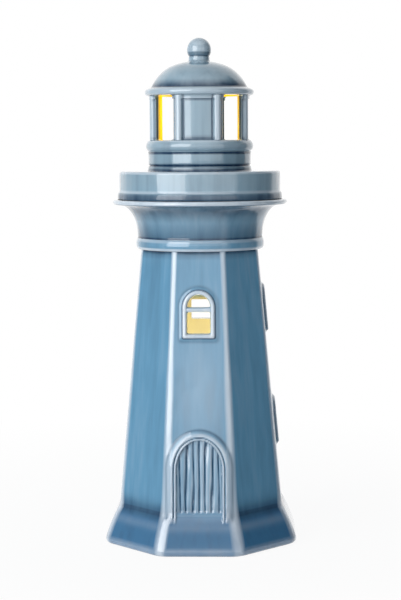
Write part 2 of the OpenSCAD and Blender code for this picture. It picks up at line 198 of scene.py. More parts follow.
class Sheet:
    """The node tree of a finish, or of the surroundings."""

    def __init__(self, owner: bpy.types.Material | bpy.types.World) -> None:
        """Empties the tree of a new material or world."""
        self.owner = owner
        self.is_world = isinstance(owner, bpy.types.World)
        owner.use_nodes = True
        self.tree = owner.node_tree
        self.tree.nodes.clear()

    def node(self, kind: str, settings: dict[str, Any] | None = None,
             inputs: dict[Any, Any] | None = None) -> bpy.types.Node:
        """Adds a node.

        Args:
            kind: the node's type.
            settings: its properties, or a ramp's stops as (place, colour) pairs.
            inputs: a number, colour, Value or output socket for each named socket.

        Returns:
            The new node.
        """
        made = self.tree.nodes.new(kind)
        for key, setting in (settings or {}).items():
            if key == "stops":
                ramp = made.color_ramp.elements
                while len(ramp) < len(setting):
                    ramp.new(0.5)
                for element, (place, colour) in zip(ramp, setting):
                    element.position = place
                    element.color = (*colour, 1.0)
            else:
                setattr(made, key, setting)
        for key, source in (inputs or {}).items():
            socket = made.inputs[key]
            source = source.socket if isinstance(source, Value) else source
            if isinstance(source, bpy.types.NodeSocket):
                self.tree.links.new(source, socket)
            elif isinstance(source, tuple) and len(source) == 3 and socket.type == "RGBA":
                socket.default_value = (*source, 1.0)
            else:
                socket.default_value = source
        return made

    def here(self) -> bpy.types.NodeSocket:
        """The point's place in the object, in metres."""
        return self.node("ShaderNodeTexCoord").outputs["Object"]

    def vector(self, operation: str, place: bpy.types.NodeSocket, other: Triple) -> bpy.types.NodeSocket:
        """A place changed along each axis by a Vector Math node."""
        return self.node("ShaderNodeVectorMath", {"operation": operation}, {0: place, 1: other}).outputs[0]

    def part(self, place: bpy.types.NodeSocket, axis: str) -> Value:
        """One coordinate of a place, by its letter."""
        return Value(self, self.node("ShaderNodeSeparateXYZ", None, {0: place}).outputs[axis])

    def noise(self, place: bpy.types.NodeSocket, waves: Triple, detail: float = 2.0,
              warp: float = 0.0) -> Value:
        """Soft noise.

        Args:
            place: the point to read it at.
            waves: how many waves to the metre along each axis.
            detail: how many finer layers it has.
            warp: how much it is pulled out of shape.

        Returns:
            A value round 0.5.
        """
        made = self.node("ShaderNodeTexNoise", None,
                         {"Vector": self.vector("MULTIPLY", place, waves), "Scale": 1.0,
                          "Detail": detail, "Roughness": 0.55, "Distortion": warp})
        return Value(self, made.outputs["Fac"])

    def painted(self, name: str) -> Value:
        """A value that the mesh carries on its points."""
        made = self.node("ShaderNodeAttribute", {"attribute_name": name})
        return Value(self, made.outputs["Fac"])

    def mix(self, share: Number, low: Any, high: Any) -> bpy.types.NodeSocket:
        """The low colour where share is 0, and the high one where it is 1."""
        made = self.node("ShaderNodeMix", {"data_type": "RGBA", "clamp_factor": True},
                         {0: share, 6: low, 7: high})
        return made.outputs[2]

    def blend(self, share: Number, low: bpy.types.NodeSocket,
              high: bpy.types.NodeSocket) -> bpy.types.NodeSocket:
        """The low shader where share is 0, and the high one where it is 1."""
        return self.node("ShaderNodeMixShader", None, {0: share, 1: low, 2: high}).outputs[0]

    def ray(self, kind: Ray) -> Value:
        """A mask of one kind of ray."""
        return Value(self, self.node("ShaderNodeLightPath").outputs[kind.value])

    def seen(self) -> Value:
        """A mask of the rays that see the surroundings as they are.

        Returns:
            1 for camera, transmission and glossy rays, and 0 for the rest.
        """
        mask = self.ray(Ray.CAMERA)
        for kind in (Ray.THROUGH, Ray.GLOSSY):
            mask = mask.sum(Maths.MOST, mask, self.ray(kind))
        return mask

    def ramp(self, along: Value, stops: tuple[tuple[float, Rgb], ...]) -> bpy.types.NodeSocket:
        """Colours laid out along a value."""
        return self.node("ShaderNodeValToRGB", {"stops": stops}, {0: along}).outputs["Color"]

    def bump(self, height: Value, depth: float) -> bpy.types.NodeSocket:
        """A normal that follows a height, depth metres from 0 to 1."""
        return self.node("ShaderNodeBump", None, {"Strength": 1.0, "Distance": depth,
                                                  "Height": height}).outputs[0]

    def glow(self, colour: Any, strength: Number = 1.0) -> bpy.types.NodeSocket:
        """A plain light of one colour, as this tree's owner gives it off.

        Args:
            colour: the light's colour.
            strength: its strength, where 1 shows the colour as it is.

        Returns:
            The shader.
        """
        kind = "ShaderNodeBackground" if self.is_world else "ShaderNodeEmission"
        return self.node(kind, None, {"Color": colour, "Strength": strength}).outputs[0]

    def show(self, shader: bpy.types.NodeSocket) -> Any:
        """Ends the tree in a shader.

        Args:
            shader: what the surface or the world shows.

        Returns:
            The tree's owner.
        """
        kind = "ShaderNodeOutputWorld" if self.is_world else "ShaderNodeOutputMaterial"
        self.node(kind, None, {"Surface": shader})
        return self.owner

    def finish(self, values: dict[str, Any]) -> bpy.types.Material:
        """Ends the tree in one glossy shader, from its sockets' values by name."""
        return self.show(self.node("ShaderNodeBsdfPrincipled", None, values).outputs[0])


@dataclass(frozen=True)
class Glaze:
    """Blue glaze that pools dark in creases and breaks pale over edges, with painted shade in creases and
    under overhangs and painted highlights on some edges; golden inside, brighter high up with painted
    light.
    """

    name: str = "sea_blue_glaze"
    tall: float = 0.3
    foot: Rgb = (0.032, 0.155, 0.310)
    shaft: Rgb = (0.110, 0.305, 0.480)
    crown: Rgb = (0.240, 0.368, 0.458)
    deep: Rgb = (0.008, 0.038, 0.090)
    pale: Rgb = (0.680, 0.760, 0.840)
    gold: Rgb = (0.880, 0.840, 0.600)
    lit_upper_gold: Rgb = (1.000, 0.750, 0.040)
    deep_gold: Rgb = (0.620, 0.440, 0.020)
    clay: Rgb = (0.700, 0.620, 0.520)
    dark_clay: Rgb = (0.500, 0.440, 0.360)
    cloud_waves: Triple = (24.0, 24.0, 16.0)
    cloud_shift: Triple = (0.31, 0.17, 0.05)
    run_waves: Triple = (130.0, 130.0, 9.0)
    fine_waves: Triple = (420.0, 420.0, 26.0)
    grit_waves: Triple = (900.0, 900.0, 900.0)
    skin_waves: Triple = (60.0, 60.0, 34.0)
    skin_depth: float = 0.0011
    rough: float = 0.09
    coat_rough: float = 0.025
    index: float = 1.5
    level: float = 0.3

    def make(self) -> bpy.types.Material:
        """Builds the material.

        Returns:
            The glaze, which reads what the castings' points carry.
        """
        sheet = Sheet(bpy.data.materials.new(self.name))
        here = sheet.here()
        height = sheet.part(here, "Z") / self.tall
        cloud = sheet.noise(sheet.vector("ADD", here, self.cloud_shift), self.cloud_waves, 2.0, 0.6)
        runs = sheet.noise(here, self.run_waves, 3.0, 0.3)
        fine = sheet.noise(here, self.fine_waves, 2.0)
        tone = sheet.ramp((height + (cloud - 0.5) * 0.05).clamped(), (
            (0.0, self.foot), (0.066, self.foot), (0.095, self.shaft), (0.56, self.shaft),
            (0.72, self.crown), (1.0, self.crown)))
        streaks = (runs - 0.5) * 1.5 + (cloud - 0.5) * 0.6 + (fine - 0.5) * 0.35
        thick = streaks.clamped()
        thin = (streaks * -1.0).clamped()
        tone = sheet.mix(thick * 0.55, tone, self.deep)
        tone = sheet.mix(thin * 0.24 * height.between(0.06, 0.10), tone, self.pale)
        # Painted shade and pooled glaze darken towards the deep colour; thin glaze over edges and painted
        # highlights lighten towards the pale one.
        pool = (sheet.painted("pool") * (0.95 + (runs - 0.5) * 0.7)).clamped()
        edge = (sheet.painted("edge") * (0.90 + (runs - 0.5) * 0.9)).clamped()
        tone = sheet.mix(edge, sheet.mix(pool, tone, self.deep), self.pale)
        # The gold is brighter and more saturated high up: painted light for the light in the lantern room.
        gold = sheet.mix(height.between(0.62, 0.78), self.gold, self.lit_upper_gold)
        gold = sheet.mix(thick * 0.35, gold, self.deep_gold)
        tone = sheet.mix(sheet.painted("gold"), tone, gold)
        bare = sheet.painted("bare")
        grit = sheet.noise(here, self.grit_waves, 3.0)
        tone = sheet.mix(bare, tone, sheet.mix(grit, self.clay, self.dark_clay))
        wave = sheet.noise(here, self.skin_waves, 1.0, 0.4)
        return sheet.finish({
            "Base Color": tone,
            "Roughness": (self.rough + fine * 0.05 + bare * 0.6).clamped(),
            "IOR": self.index,
            "Specular IOR Level": self.level,
            "Coat Weight": ((1.0 - bare) * (1.0 - pool * 0.7)).clamped(),
            "Coat Roughness": self.coat_rough,
            "Coat IOR": self.index,
            "Normal": sheet.bump(wave + runs * 0.10, self.skin_depth),
        })


@dataclass(frozen=True)
class Moulding:
    """Satin moulded plastic with a fine spark-eroded grain."""

    name: str
    colour: Rgb
    dark: Rgb
    rough: float = 0.42
    through: float = 0.0
    cloud_waves: Triple = (160.0, 160.0, 160.0)
    grain_waves: Triple = (2600.0, 2600.0, 2600.0)
    grain_depth: float = 0.00004
    light_reach: Triple = (0.004, 0.003, 0.002)

    def make(self) -> bpy.types.Material:
        """Builds the material.

        Returns:
            The plastic.
        """
        sheet = Sheet(bpy.data.materials.new(self.name))
        here = sheet.here()
        cloud = sheet.noise(here, self.cloud_waves, 3.0)
        grain = sheet.noise(here, self.grain_waves, 2.0)
        return sheet.finish({
            "Base Color": sheet.mix((cloud - 0.3) * 0.8, self.colour, self.dark),
            "Roughness": self.rough + (grain - 0.5) * 0.16,
            "Subsurface Weight": self.through,
            "Subsurface Radius": self.light_reach,
            "Subsurface Scale": 1.0,
            "Normal": sheet.bump(grain, self.grain_depth),
        })


@dataclass(frozen=True)
class Glow:
    """Clear or milky plastic that is lit from inside, brightest low down."""

    name: str
    colour: Rgb
    light: Rgb
    strength: float
    low: float
    high: float
    wisp_waves: Triple = (300.0, 300.0, 90.0)
    rough: float = 0.22

    def make(self) -> bpy.types.Material:
        """Builds the material.

        Returns:
            The lit plastic.
        """
        sheet = Sheet(bpy.data.materials.new(self.name))
        here = sheet.here()
        up = sheet.part(here, "Z").between(self.low, self.high)
        wisp = sheet.noise(here, self.wisp_waves, 2.0, 0.5)
        faint = tuple(0.35 * part for part in self.light)
        fade = (up * 0.9 + (wisp - 0.5) * 0.3).clamped()
        return sheet.finish({
            "Base Color": sheet.mix(up * 0.6, self.colour, self.light),
            "Roughness": self.rough + wisp * 0.1,
            "Emission Color": sheet.mix(fade, self.light, faint),
            "Emission Strength": self.strength,
        })


@dataclass(frozen=True)
class Metal:
    """Plated or rolled metal with fine lines along one axis."""

    name: str
    colour: Rgb
    rough: float
    line_waves: Triple = (300.0, 2400.0, 300.0)
    stain_waves: Triple = (240.0, 240.0, 240.0)
    line_depth: float = 0.00002

    def make(self) -> bpy.types.Material:
        """Builds the material.

        Returns:
            The metal.
        """
        sheet = Sheet(bpy.data.materials.new(self.name))
        here = sheet.here()
        brushed = sheet.noise(here, self.line_waves, 3.0)
        stain = sheet.noise(here, self.stain_waves, 2.0)
        dull = tuple(0.72 * part for part in self.colour)
        return sheet.finish({
            "Base Color": sheet.mix((stain * 0.6 + brushed * 0.3).clamped(), self.colour, dull),
            "Metallic": 1.0,
            "Roughness": self.rough + (brushed - 0.5) * 0.2,
            "Normal": sheet.bump(brushed, self.line_depth),
        })


@dataclass(frozen=True)
class Laminate:
    """A green circuit board with paler copper runs under its mask and a woven core."""

    name: str = "board_mask"
    green: Rgb = (0.012, 0.120, 0.045)
    run: Rgb = (0.040, 0.230, 0.090)
    run_turns: float = 2400.0
    kink_waves: Triple = (180.0, 10.0, 10.0)
    weave_waves: Triple = (2000.0, 2000.0, 400.0)
    rough: float = 0.3
    depth: float = 0.00003

    def make(self) -> bpy.types.Material:
        """Builds the material.

        Returns:
            The board's finish.
        """
        sheet = Sheet(bpy.data.materials.new(self.name))
        here = sheet.here()
        across = ((sheet.part(here, "Y") * self.run_turns).sine() * 0.5 + 0.5) ** 4.0
        kinks = sheet.noise(here, self.kink_waves, 0.0).between(0.42, 0.58)
        weave = sheet.noise(here, self.weave_waves, 1.0)
        return sheet.finish({
            "Base Color": sheet.mix((across * kinks).clamped(), self.green, self.run),
            "Roughness": self.rough + weave * 0.1,
            "Normal": sheet.bump(across * 0.6 + weave * 0.4, self.depth),
        })


# ---------------------------------------------------------------------------------------
# Mesh tools
# ---------------------------------------------------------------------------------------


class Change(Enum):
    """What one mesh does to another in a boolean."""

    CUT = "DIFFERENCE"
    JOIN = "UNION"


def spread(values: np.ndarray, count: int) -> np.ndarray:
    """Copies one value for each row into a number of columns."""
    return np.repeat(values[:, None], count, axis=1)


@dataclass
class Skin:
    """A closed skin of rows and columns: where each point lies and what it carries."""

    place: np.ndarray
    paint: dict[str, np.ndarray]

    def wrap(self) -> bmesh.types.BMesh:
        """Wraps a flat grid round, closes its seam and its poles, and paints its points.

        Returns:
            The closed mesh, in millimetres.
        """
        rows, columns = self.place.shape[:2]
        bm = bmesh.new()
        bmesh.ops.create_grid(bm, x_segments=columns, y_segments=rows - 1, size=1.0)
        layers = {name: bm.verts.layers.float.new(name) for name in self.paint}
        for vert in bm.verts:
            column = round((vert.co.x + 1.0) / 2.0 * columns) % columns
            row = round((vert.co.y + 1.0) / 2.0 * (rows - 1))
            vert.co = self.place[row, column]
            for name, layer in layers.items():
                vert[layer] = float(self.paint[name][row, column])
        bmesh.ops.remove_doubles(bm, verts=bm.verts, dist=MERGE)
        loose = [edge for edge in bm.edges if not edge.link_faces]
        bmesh.ops.delete(bm, geom=loose, context="EDGES")
        bmesh.ops.recalc_face_normals(bm, faces=bm.faces)
        return bm


def placed(bm: bmesh.types.BMesh, name: str,
           finish: bpy.types.Material | None = None) -> bpy.types.Object:
    """Puts a mesh into the scene.

    Args:
        bm: the mesh, which is freed.
        name: the name of the object and of its data.
        finish: its material, if it needs one.

    Returns:
        The new object, at the origin.
    """
    mesh = bpy.data.meshes.new(name)
    bm.to_mesh(mesh)
    bm.free()
    if finish is not None:
        mesh.materials.append(finish)
    made = bpy.data.objects.new(name, mesh)
    bpy.context.scene.collection.objects.link(made)
    return made


def to_object(bm: bmesh.types.BMesh, name: str, finish: bpy.types.Material,
              sharp: float) -> bpy.types.Object:
    """Turns a mesh in millimetres into a finished object in metres.

    Args:
        bm: the mesh, which is freed.
        name: the object's name.
        finish: its material.
        sharp: the angle in degrees past which an edge shades as sharp.

    Returns:
        The new object, at the origin.
    """
    bmesh.ops.scale(bm, vec=(MM, MM, MM), verts=bm.verts)
    made = placed(bm, name, finish)
    made.data.shade_smooth()
    made.data.set_sharp_from_angle(angle=math.radians(sharp))
    return made


def carve(bm: bmesh.types.BMesh, tool: bmesh.types.BMesh, kind: Change) -> bmesh.types.BMesh:
    """Cuts one mesh with another, or joins them.

    Args:
        bm: the mesh to change, which is freed.
        tool: the mesh to cut or join with, which is freed.
        kind: what the tool does.

    Returns:
        The resulting mesh, with its painted values found again from the nearest old point.
    """
    names = list(bm.verts.layers.float.keys())
    layers = [bm.verts.layers.float[name] for name in names]
    old = [(vert.co.copy(), [vert[layer] for layer in layers]) for vert in bm.verts]
    tree = KDTree(len(old))
    for index, (place, _) in enumerate(old):
        tree.insert(place, index)
    tree.balance()
    holders = [placed(part, "part") for part in (bm, tool)]
    change = holders[0].modifiers.new("change", "BOOLEAN")
    change.operation = kind.value
    change.solver = "MANIFOLD"
    change.object = holders[1]
    graph = bpy.context.evaluated_depsgraph_get()
    result = bmesh.new()
    result.from_mesh(holders[0].evaluated_get(graph).to_mesh())
    for holder in holders:
        mesh = holder.data
        bpy.data.objects.remove(holder)
        bpy.data.meshes.remove(mesh)
    for name in names:
        if name not in result.verts.layers.float:
            result.verts.layers.float.new(name)
    found = [result.verts.layers.float[name] for name in names]
    for vert in result.verts:
        _, index, _ = tree.find(vert.co)
        for layer, value in zip(found, old[index][1]):
            vert[layer] = value
    return result


def turned(outline: list[Point], steps: int) -> bmesh.types.BMesh:
    """Spins an outline of (radius, height) points a full turn about the Z axis.

    Args:
        outline: the points, from one end to the other.
        steps: how many times the turn is divided.

    Returns:
        The turned mesh, closed along the axis or from the last point to the first.
    """
    bm = bmesh.new()
    verts = [bm.verts.new((radius, 0.0, height)) for radius, height in outline]
    edges = [bm.edges.new(pair) for pair in zip(verts, verts[1:])]
    if outline[0][0] > 0.0 and outline[-1][0] > 0.0:
        edges.append(bm.edges.new((verts[-1], verts[0])))
    bmesh.ops.spin(bm, geom=verts + edges, cent=(0, 0, 0), axis=(0, 0, 1),
                   angle=math.tau, steps=steps, use_merge=True)
    bmesh.ops.remove_doubles(bm, verts=bm.verts, dist=MERGE)
    bmesh.ops.recalc_face_normals(bm, faces=bm.faces)
    return bm


def curve(outline: list[Point], step: float) -> list[Point]:
    """Puts more points on an outline's long stretches.

    Args:
        outline: the points to pass through.
        step: the most that two neighbours may be apart.

    Returns:
        The denser outline.
    """
    found = [outline[0]]
    for (r0, z0), (r1, z1) in zip(outline, outline[1:]):
        count = max(1, math.ceil(math.hypot(r1 - r0, z1 - z0) / step))
        found += [(r0 + (r1 - r0) * i / count, z0 + (z1 - z0) * i / count)
                  for i in range(1, count + 1)]
    return found


def ellipse(cx: float, cz: float, rx: float, rz: float, start: float, end: float,
            count: int) -> list[Point]:
    """Points along an arc of an ellipse, with its angles in degrees."""
    turns = np.radians(np.linspace(start, end, count + 1))
    return [(cx + rx * math.cos(t), cz + rz * math.sin(t)) for t in turns]


def arch_gap(x: np.ndarray, y: np.ndarray, half: float, rise: float, drop: float) -> np.ndarray:
    """How far a point on the wall lies outside an arched outline.

    Args:
        x: distance along the wall from the outline's middle.
        y: height above the line where the arch starts.
        half: half the outline's width.
        rise: height of its arch.
        drop: depth of its straight sides.

    Returns:
        The distance, below zero inside the outline.
    """
    k = np.sqrt((x / half) ** 2 + (y / rise) ** 2) + 1e-9
    slope = np.sqrt((x / half**2) ** 2 + (y / rise**2) ** 2) / k + 1e-9
    dx = np.abs(x) - half
    dy = -y - drop
    out_x, out_y = np.maximum(dx, 0.0), np.maximum(dy, 0.0)
    below = (out_x**5 + out_y**5) ** 0.2 + np.minimum(np.maximum(dx, dy), 0.0)
    return np.where(y > 0.0, (k - 1.0) / slope, below)


# ---------------------------------------------------------------------------------------
# The tower
# ---------------------------------------------------------------------------------------


@dataclass(frozen=True)
class Relief:
    """What stands out of the wall at a point: its height and how the glaze lies on it."""

    height: np.ndarray
    edge: np.ndarray
    pool: np.ndarray


@dataclass(frozen=True)
class Window:
    """A raised arched frame round two panes with a bar between them."""

    side: int
    base_z: float
    half: float = 6.8
    rise: float = 7.3
    pane: float = 12.6
    bar: float = 2.7
    frame: float = 2.7
    proud: float = 1.7
    skirt: float = 2.2
    skirt_proud: float = 0.7
    sunk: float = 1.6

    def relief(self, x: np.ndarray, y: np.ndarray) -> Relief:
        """The frame's shape over the wall.

        Args:
            x: distance along the wall from the window's middle.
            y: height up the wall from the bar's top edge.

        Returns:
            The relief, flat and unpainted away from the window.
        """
        gap = arch_gap(x, y, self.half, self.rise, self.bar + self.pane)
        inside = gap < 0.0
        across = 2.0 * gap / self.frame - 1.0
        rim = self.proud * ridge(across)
        skirt = self.skirt_proud * (1.0 - smooth(self.frame - 0.4, self.frame + self.skirt, gap))
        skirt = skirt * smooth(0.0, 0.8, gap)
        rail = 0.85 * ridge((2.0 * y + self.bar) / self.bar)
        from_bar = np.abs(y + self.bar / 2) - self.bar / 2
        glass = -self.sunk * smooth(0.0, 0.7, np.minimum(-gap, from_bar))
        height = np.where(inside, np.where(rail > 0.0, self.proud * rail, glass), np.hypot(rim, skirt))
        crest = np.where(inside, 1.15 * rail, ridge(across, 5.0))
        # Pooled glaze and painted shade at the frame's foot, and a fainter painted shaded line at the
        # skirt's foot.
        foot = mound(gap, self.frame + 0.1, 0.45)
        skirt_shade = 0.30 * mound(gap, self.frame + self.skirt, 0.8)
        return Relief(height, smooth(0.45, 0.95, crest), np.maximum(foot, skirt_shade))


@dataclass(frozen=True)
class Door:
    """An arched door of wavy planks in a rolled frame."""

    side: int = 0
    base_z: float = 49.0
    half: float = 13.3
    rise: float = 17.1
    side_h: float = 26.5
    roll_at: float = 3.5
    roll_half: float = 2.0
    roll_proud: float = 1.85
    bead_at: float = 0.75
    bead_half: float = 0.8
    bead_proud: float = 1.25
    bed_proud: float = 0.35
    sunk: float = 0.4
    plank: float = 3.7
    groove: float = 0.95
    lean: float = 0.55
    waver: float = 0.12
    no_foot: float = 1000.0

    def planks(self, x: np.ndarray, y: np.ndarray) -> np.ndarray:
        """The planks' section: 0 in the grooves between them and 1 in their middles.

        Args:
            x: distance along the wall from the door's middle.
            y: height up the wall from where the arch starts.

        Returns:
            The section at each point.
        """
        lean = self.lean * np.sin(0.07 * y + 0.5 * x + 0.4) * np.minimum(1.0, np.abs(x) / 3.0)
        waver = x + lean + self.waver * np.sin(0.23 * y + 1.7 * x)
        return np.abs(np.sin(np.pi * waver / self.plank))

    def relief(self, x: np.ndarray, y: np.ndarray) -> Relief:
        """The door's shape over the wall.

        Args:
            x: distance along the wall from the door's middle.
            y: height up the wall from where the arch starts.

        Returns:
            The relief, flat and unpainted away from the door.
        """
        gap = arch_gap(x, y, self.half, self.rise, self.no_foot)
        inside = gap < 0.0
        rim = self.roll_at + self.roll_half + 0.5
        crown = 0.25 * smooth(0.0, self.rise, y)
        roll = np.clip((rim + crown - gap) / 4.4, 0.0, 1.0)
        roll = roll * smooth(self.roll_at - self.roll_half - 0.1, self.roll_at - 0.8, gap)
        bead = ridge((gap - self.bead_at) / self.bead_half, 2.0)
        bed = 1.0 - smooth(self.roll_at + 1.6, self.roll_at + 3.4, gap)
        bed = self.bed_proud * bed * smooth(0.0, 0.6, gap)
        around = np.sqrt((self.roll_proud * roll) ** 2 + (self.bead_proud * bead) ** 2 + bed**2)
        faded = smooth(-self.side_h - 5.0, -self.side_h - 0.5, y)
        sill = smooth(-self.side_h + 0.8, -self.side_h + 2.2, y)
        wave = self.planks(x, y)
        leaf = -self.sunk - self.groove * (1.0 - wave**0.75) * smooth(0.0, 1.6, -gap)
        height = np.where(inside, leaf * sill, around * faded)
        rolled = np.maximum(0.75 * smooth(0.25, 0.70, roll), 0.80 * smooth(0.4, 1.0, bead))
        worn = (0.36 + 0.34 * mound(x, 3.0, 6.0)) * smooth(0.35, 0.75, wave)
        worn = worn * (1.0 - 0.5 * smooth(0.8, 1.0, wave))
        edge = np.where(inside, worn * sill, rolled * faded)
        beside = np.maximum(mound(gap, 1.55, 0.32), 0.6 * mound(gap, rim, 0.8))
        inner = 0.8 * mound(gap, -0.35, 0.5) * sill
        seams = np.clip(1.1 * (1.0 - wave) ** 1.6, 0.0, 1.0)
        pool = np.maximum(inner, np.where(inside, seams * sill, beside * faded))
        return Relief(height, edge, pool)


@dataclass
class Tower:
    """The eight-sided tower with its plinth, door, windows, bead, cove and rim."""

    finish: bpy.types.Material
    plinth_a: float = 57.0
    plinth_h: float = 22.5
    shaft_bottom: float = 48.6
    shaft_top: float = 34.6
    bead_z: float = 175.2
    bead_r: float = 38.4
    bead_h: float = 6.5
    bead_t: float = 1.2
    cove_z: float = 182.7
    neck_r: float = 37.4
    cove_out: float = 11.5
    cove_h: float = 19.0
    seat_z: float = 204.6
    rim_r: float = 52.2
    rim_t: float = 2.9
    mouth_r: float = 37.0
    wall: float = 4.0
    floor_z: float = 6.0
    recess: float = 1.5
    corner_r: tuple[tuple[float, ...], tuple[float, ...]] = (
        (0.0, 22.0, 32.0, 98.0, 120.0), (12.0, 11.0, 8.5, 7.5, 5.5))
    dense: float = 11.9
    share: float = 0.85
    shaft_rows: tuple[Triple, ...] = (
        (24.5, 87.0, 0.72), (90.0, 118.0, 3.5), (120.5, 158.0, 0.46), (161.0, 173.0, 3.0))
    lit_front_z: float = 92.0
    lit_front_tall: float = 34.0
    lit_front_half: float = 17.0
    step_z: float = 13.6
    step_half: float = 17.0
    door: Door = Door()
    windows: tuple[Window, ...] = (
        Window(0, 143.0), Window(2, 144.0), Window(4, 144.0), Window(2, 76.0))
    relief_half: float = 21.5
    relief_tall: float = 35.0
    cutter_deep: float = 16.0

    @property
    def taper(self) -> float:
        """How far the shaft's flats lean in for each millimetre that they rise."""
        return (self.shaft_bottom - self.shaft_top) / (self.bead_z - self.plinth_h)

    def shaft_a(self, z: float) -> float:
        """Half the shaft's width across its flats at a height."""
        return self.shaft_bottom - (z - self.plinth_h) * self.taper

    def outline(self) -> np.ndarray:
        """The rows of the skin, from the middle of the underside over the rim to the floor.

        Returns:
            One row for each line: half width, height, roundness, edge (pale glaze and painted highlight),
                pool (pooled glaze and painted shade), gold and bare.
        """
        rows: list[tuple[float, ...]] = []

        def add(points: list[Point], round_: float = 0.0, edge: float = 0.0,
                pool: float = 0.0, gold: float = 0.0, bare: float = 0.0) -> None:
            """Adds points that share one way of painting."""
            rows.extend((a, z, round_, edge, pool, gold, bare) for a, z in points)

        # The recessed underside, the unglazed foot ring and the plinth's slope.
        foot = self.plinth_a
        add(curve([(0.0, self.recess), (foot - 10.0, self.recess)], 12.0), pool=0.3)
        add([(foot - 9.0, self.recess - 0.1), (foot - 8.3, self.recess - 0.5)], pool=0.5)
        add([(foot - 7.9, 0.3)], pool=0.2, bare=0.5)
        add(curve([(foot - 7.3, 0.05), (foot - 6.8, 0.0), (foot - 2.2, 0.0)], 2.0), bare=1.0)
        arcs = ellipse(foot - 2.0, 2.0, 2.0, 2.0, -88.0, 0.0, 6)
        add(arcs[:2], bare=0.6, edge=0.5)
        add(arcs[2:], edge=0.26)
        slope_z = 3.2
        for t in np.linspace(0.0, 0.94, 17):
            swell = 0.7 * 4 * t * (1 - t)
            add([(foot + (self.shaft_bottom - foot) * t + swell, slope_z + (self.plinth_h - slope_z) * t)],
                edge=max(0.3 * (1 - t / 0.12), 0.13 * mound(t, 0.66, 0.12)),
                pool=0.65 * max(0.0, (t - 0.76) / 0.18))

        # The crease over the plinth, and the shaft with its rows dense at the door and windows; pooled
        # glaze and painted shade darken the crease, the shaft just above it and the shaft under the bead.
        for rise, lift in ((-0.6, 0.28), (0.0, 0.3), (0.6, 0.2), (1.3, 0.06)):
            add([(self.shaft_a(self.plinth_h + rise) + lift, self.plinth_h + rise)], pool=0.8)
        for low, high, step in self.shaft_rows:
            for z in lines(low, high, step=step):
                add([(self.shaft_a(z), z)], pool=0.55 * mound(z, 24.0, 5.0) + 0.6 * mound(z, 174.5, 2.0))

        # The bead at the shaft's top, with pooled glaze and painted shade in the crease under it.
        top = self.shaft_a(self.bead_z)
        add([(top, self.bead_z - 0.9)], pool=0.8)
        add([(top + 0.25, self.bead_z - 0.3)], 0.15, pool=1.0)
        add([(top + 1.2, self.bead_z + 0.05)], 0.5, pool=1.0)
        add([(self.bead_r - self.bead_t, self.bead_z + 0.1)], 1.0, pool=0.8)
        for start, end, count, edge in ((-80.0, -40.0, 3, 0.75), (-25.0, 20.0, 5, 0.0),
                                        (38.0, 78.0, 3, 0.4)):
            add(ellipse(self.bead_r - self.bead_t, self.bead_z + self.bead_h / 2, self.bead_t,
                        self.bead_h / 2, start, end, count), 1.0, edge=edge)

        # The cove and the rim: painted shade with pooled glaze in the cove's crease at the bead and under
        # the rim's overhang, painted shade on the rim's underside, and a pale rim top that is partly thin
        # glaze and partly a painted highlight.
        add([(self.neck_r + 0.05, self.cove_z - 0.8), (self.neck_r - 0.15, self.cove_z - 0.3)],
            1.0, pool=1.0)
        cove_r = self.neck_r + self.cove_out
        for index, point in enumerate(ellipse(cove_r, self.cove_z, self.cove_out, self.cove_h,
                                              178.0, 97.0, 26)):
            high = 0.62 * mound(point[1], 199.0, 4.6) if point[1] < 201.3 else 0.45
            add([point], 1.0, pool=max(0.62 * max(0.0, 1.0 - index / 9), high))
        rim = self.rim_t / 2
        for start, end, count, edge, pool in ((-80.0, -48.0, 3, 0.0, 0.5), (-30.0, 80.0, 8, 0.85, 0.0)):
            add(ellipse(self.rim_r - rim, self.seat_z - rim, rim, rim, start, end, count),
                1.0, edge=edge, pool=pool)

        # The unglazed seat, the mouth and the golden inside down to the floor.
        add([(self.rim_r - 2.6, self.seat_z)], 1.0, edge=0.4)
        add([(r, self.seat_z) for r in (self.rim_r - 3.3, 43.0, self.mouth_r + 1.2)], 1.0, bare=1.0)
        add([(self.mouth_r + 0.6, self.seat_z - 0.1), (self.mouth_r + 0.15, self.seat_z - 0.5)],
            1.0, edge=0.7, gold=0.3)
        add(curve([(self.mouth_r, self.seat_z - 1.2), (self.mouth_r, self.seat_z - 7.0)], 3.0),
            1.0, gold=1.0)
        add(ellipse(cove_r, self.cove_z, self.cove_out + self.wall, self.cove_h + self.wall,
                    141.0, 179.0, 8), 1.0, gold=1.0)
        add([(33.3, 179.0)], 0.8, gold=1.0)
        add([(32.0, 176.0)], 0.4, gold=1.0)
        for z in (172.0, *range(160, 119, -10), 105.0, *range(90, 59, -10), 48.0, 36.0):
            add([(self.shaft_a(z) - self.wall, z)], gold=1.0)
        add([(44.8, 24.0), (46.6, 18.0), (50.0, 11.0), (50.6, 8.5), (49.8, 6.8), (47.5, 6.05)], gold=1.0)
        add(curve([(45.0, self.floor_z), (0.0, self.floor_z)], 9.0), gold=1.0)
        return np.array(rows)

    def columns(self) -> np.ndarray:
        """The columns of the skin, once round the tower from the front.

        Returns:
            One row for each: side, place across its flat from -1 to 1, turn into the
            corner after it from 0 to 45 degrees, and whether it is a corner column.
        """
        count = {0: 76, 2: 50, 4: 50}
        found: list[tuple[float, ...]] = []
        for side in range(8):
            found += [(side, u, 0.0, 0.0) for u in np.linspace(-1.0, 1.0, count.get(side, 12) + 1)]
            bends = 8 if side in (0, 7) else 6
            found += [(side, 1.0, EIGHTH * i / bends, 1.0) for i in range(1, bends)]
        return np.array(found)

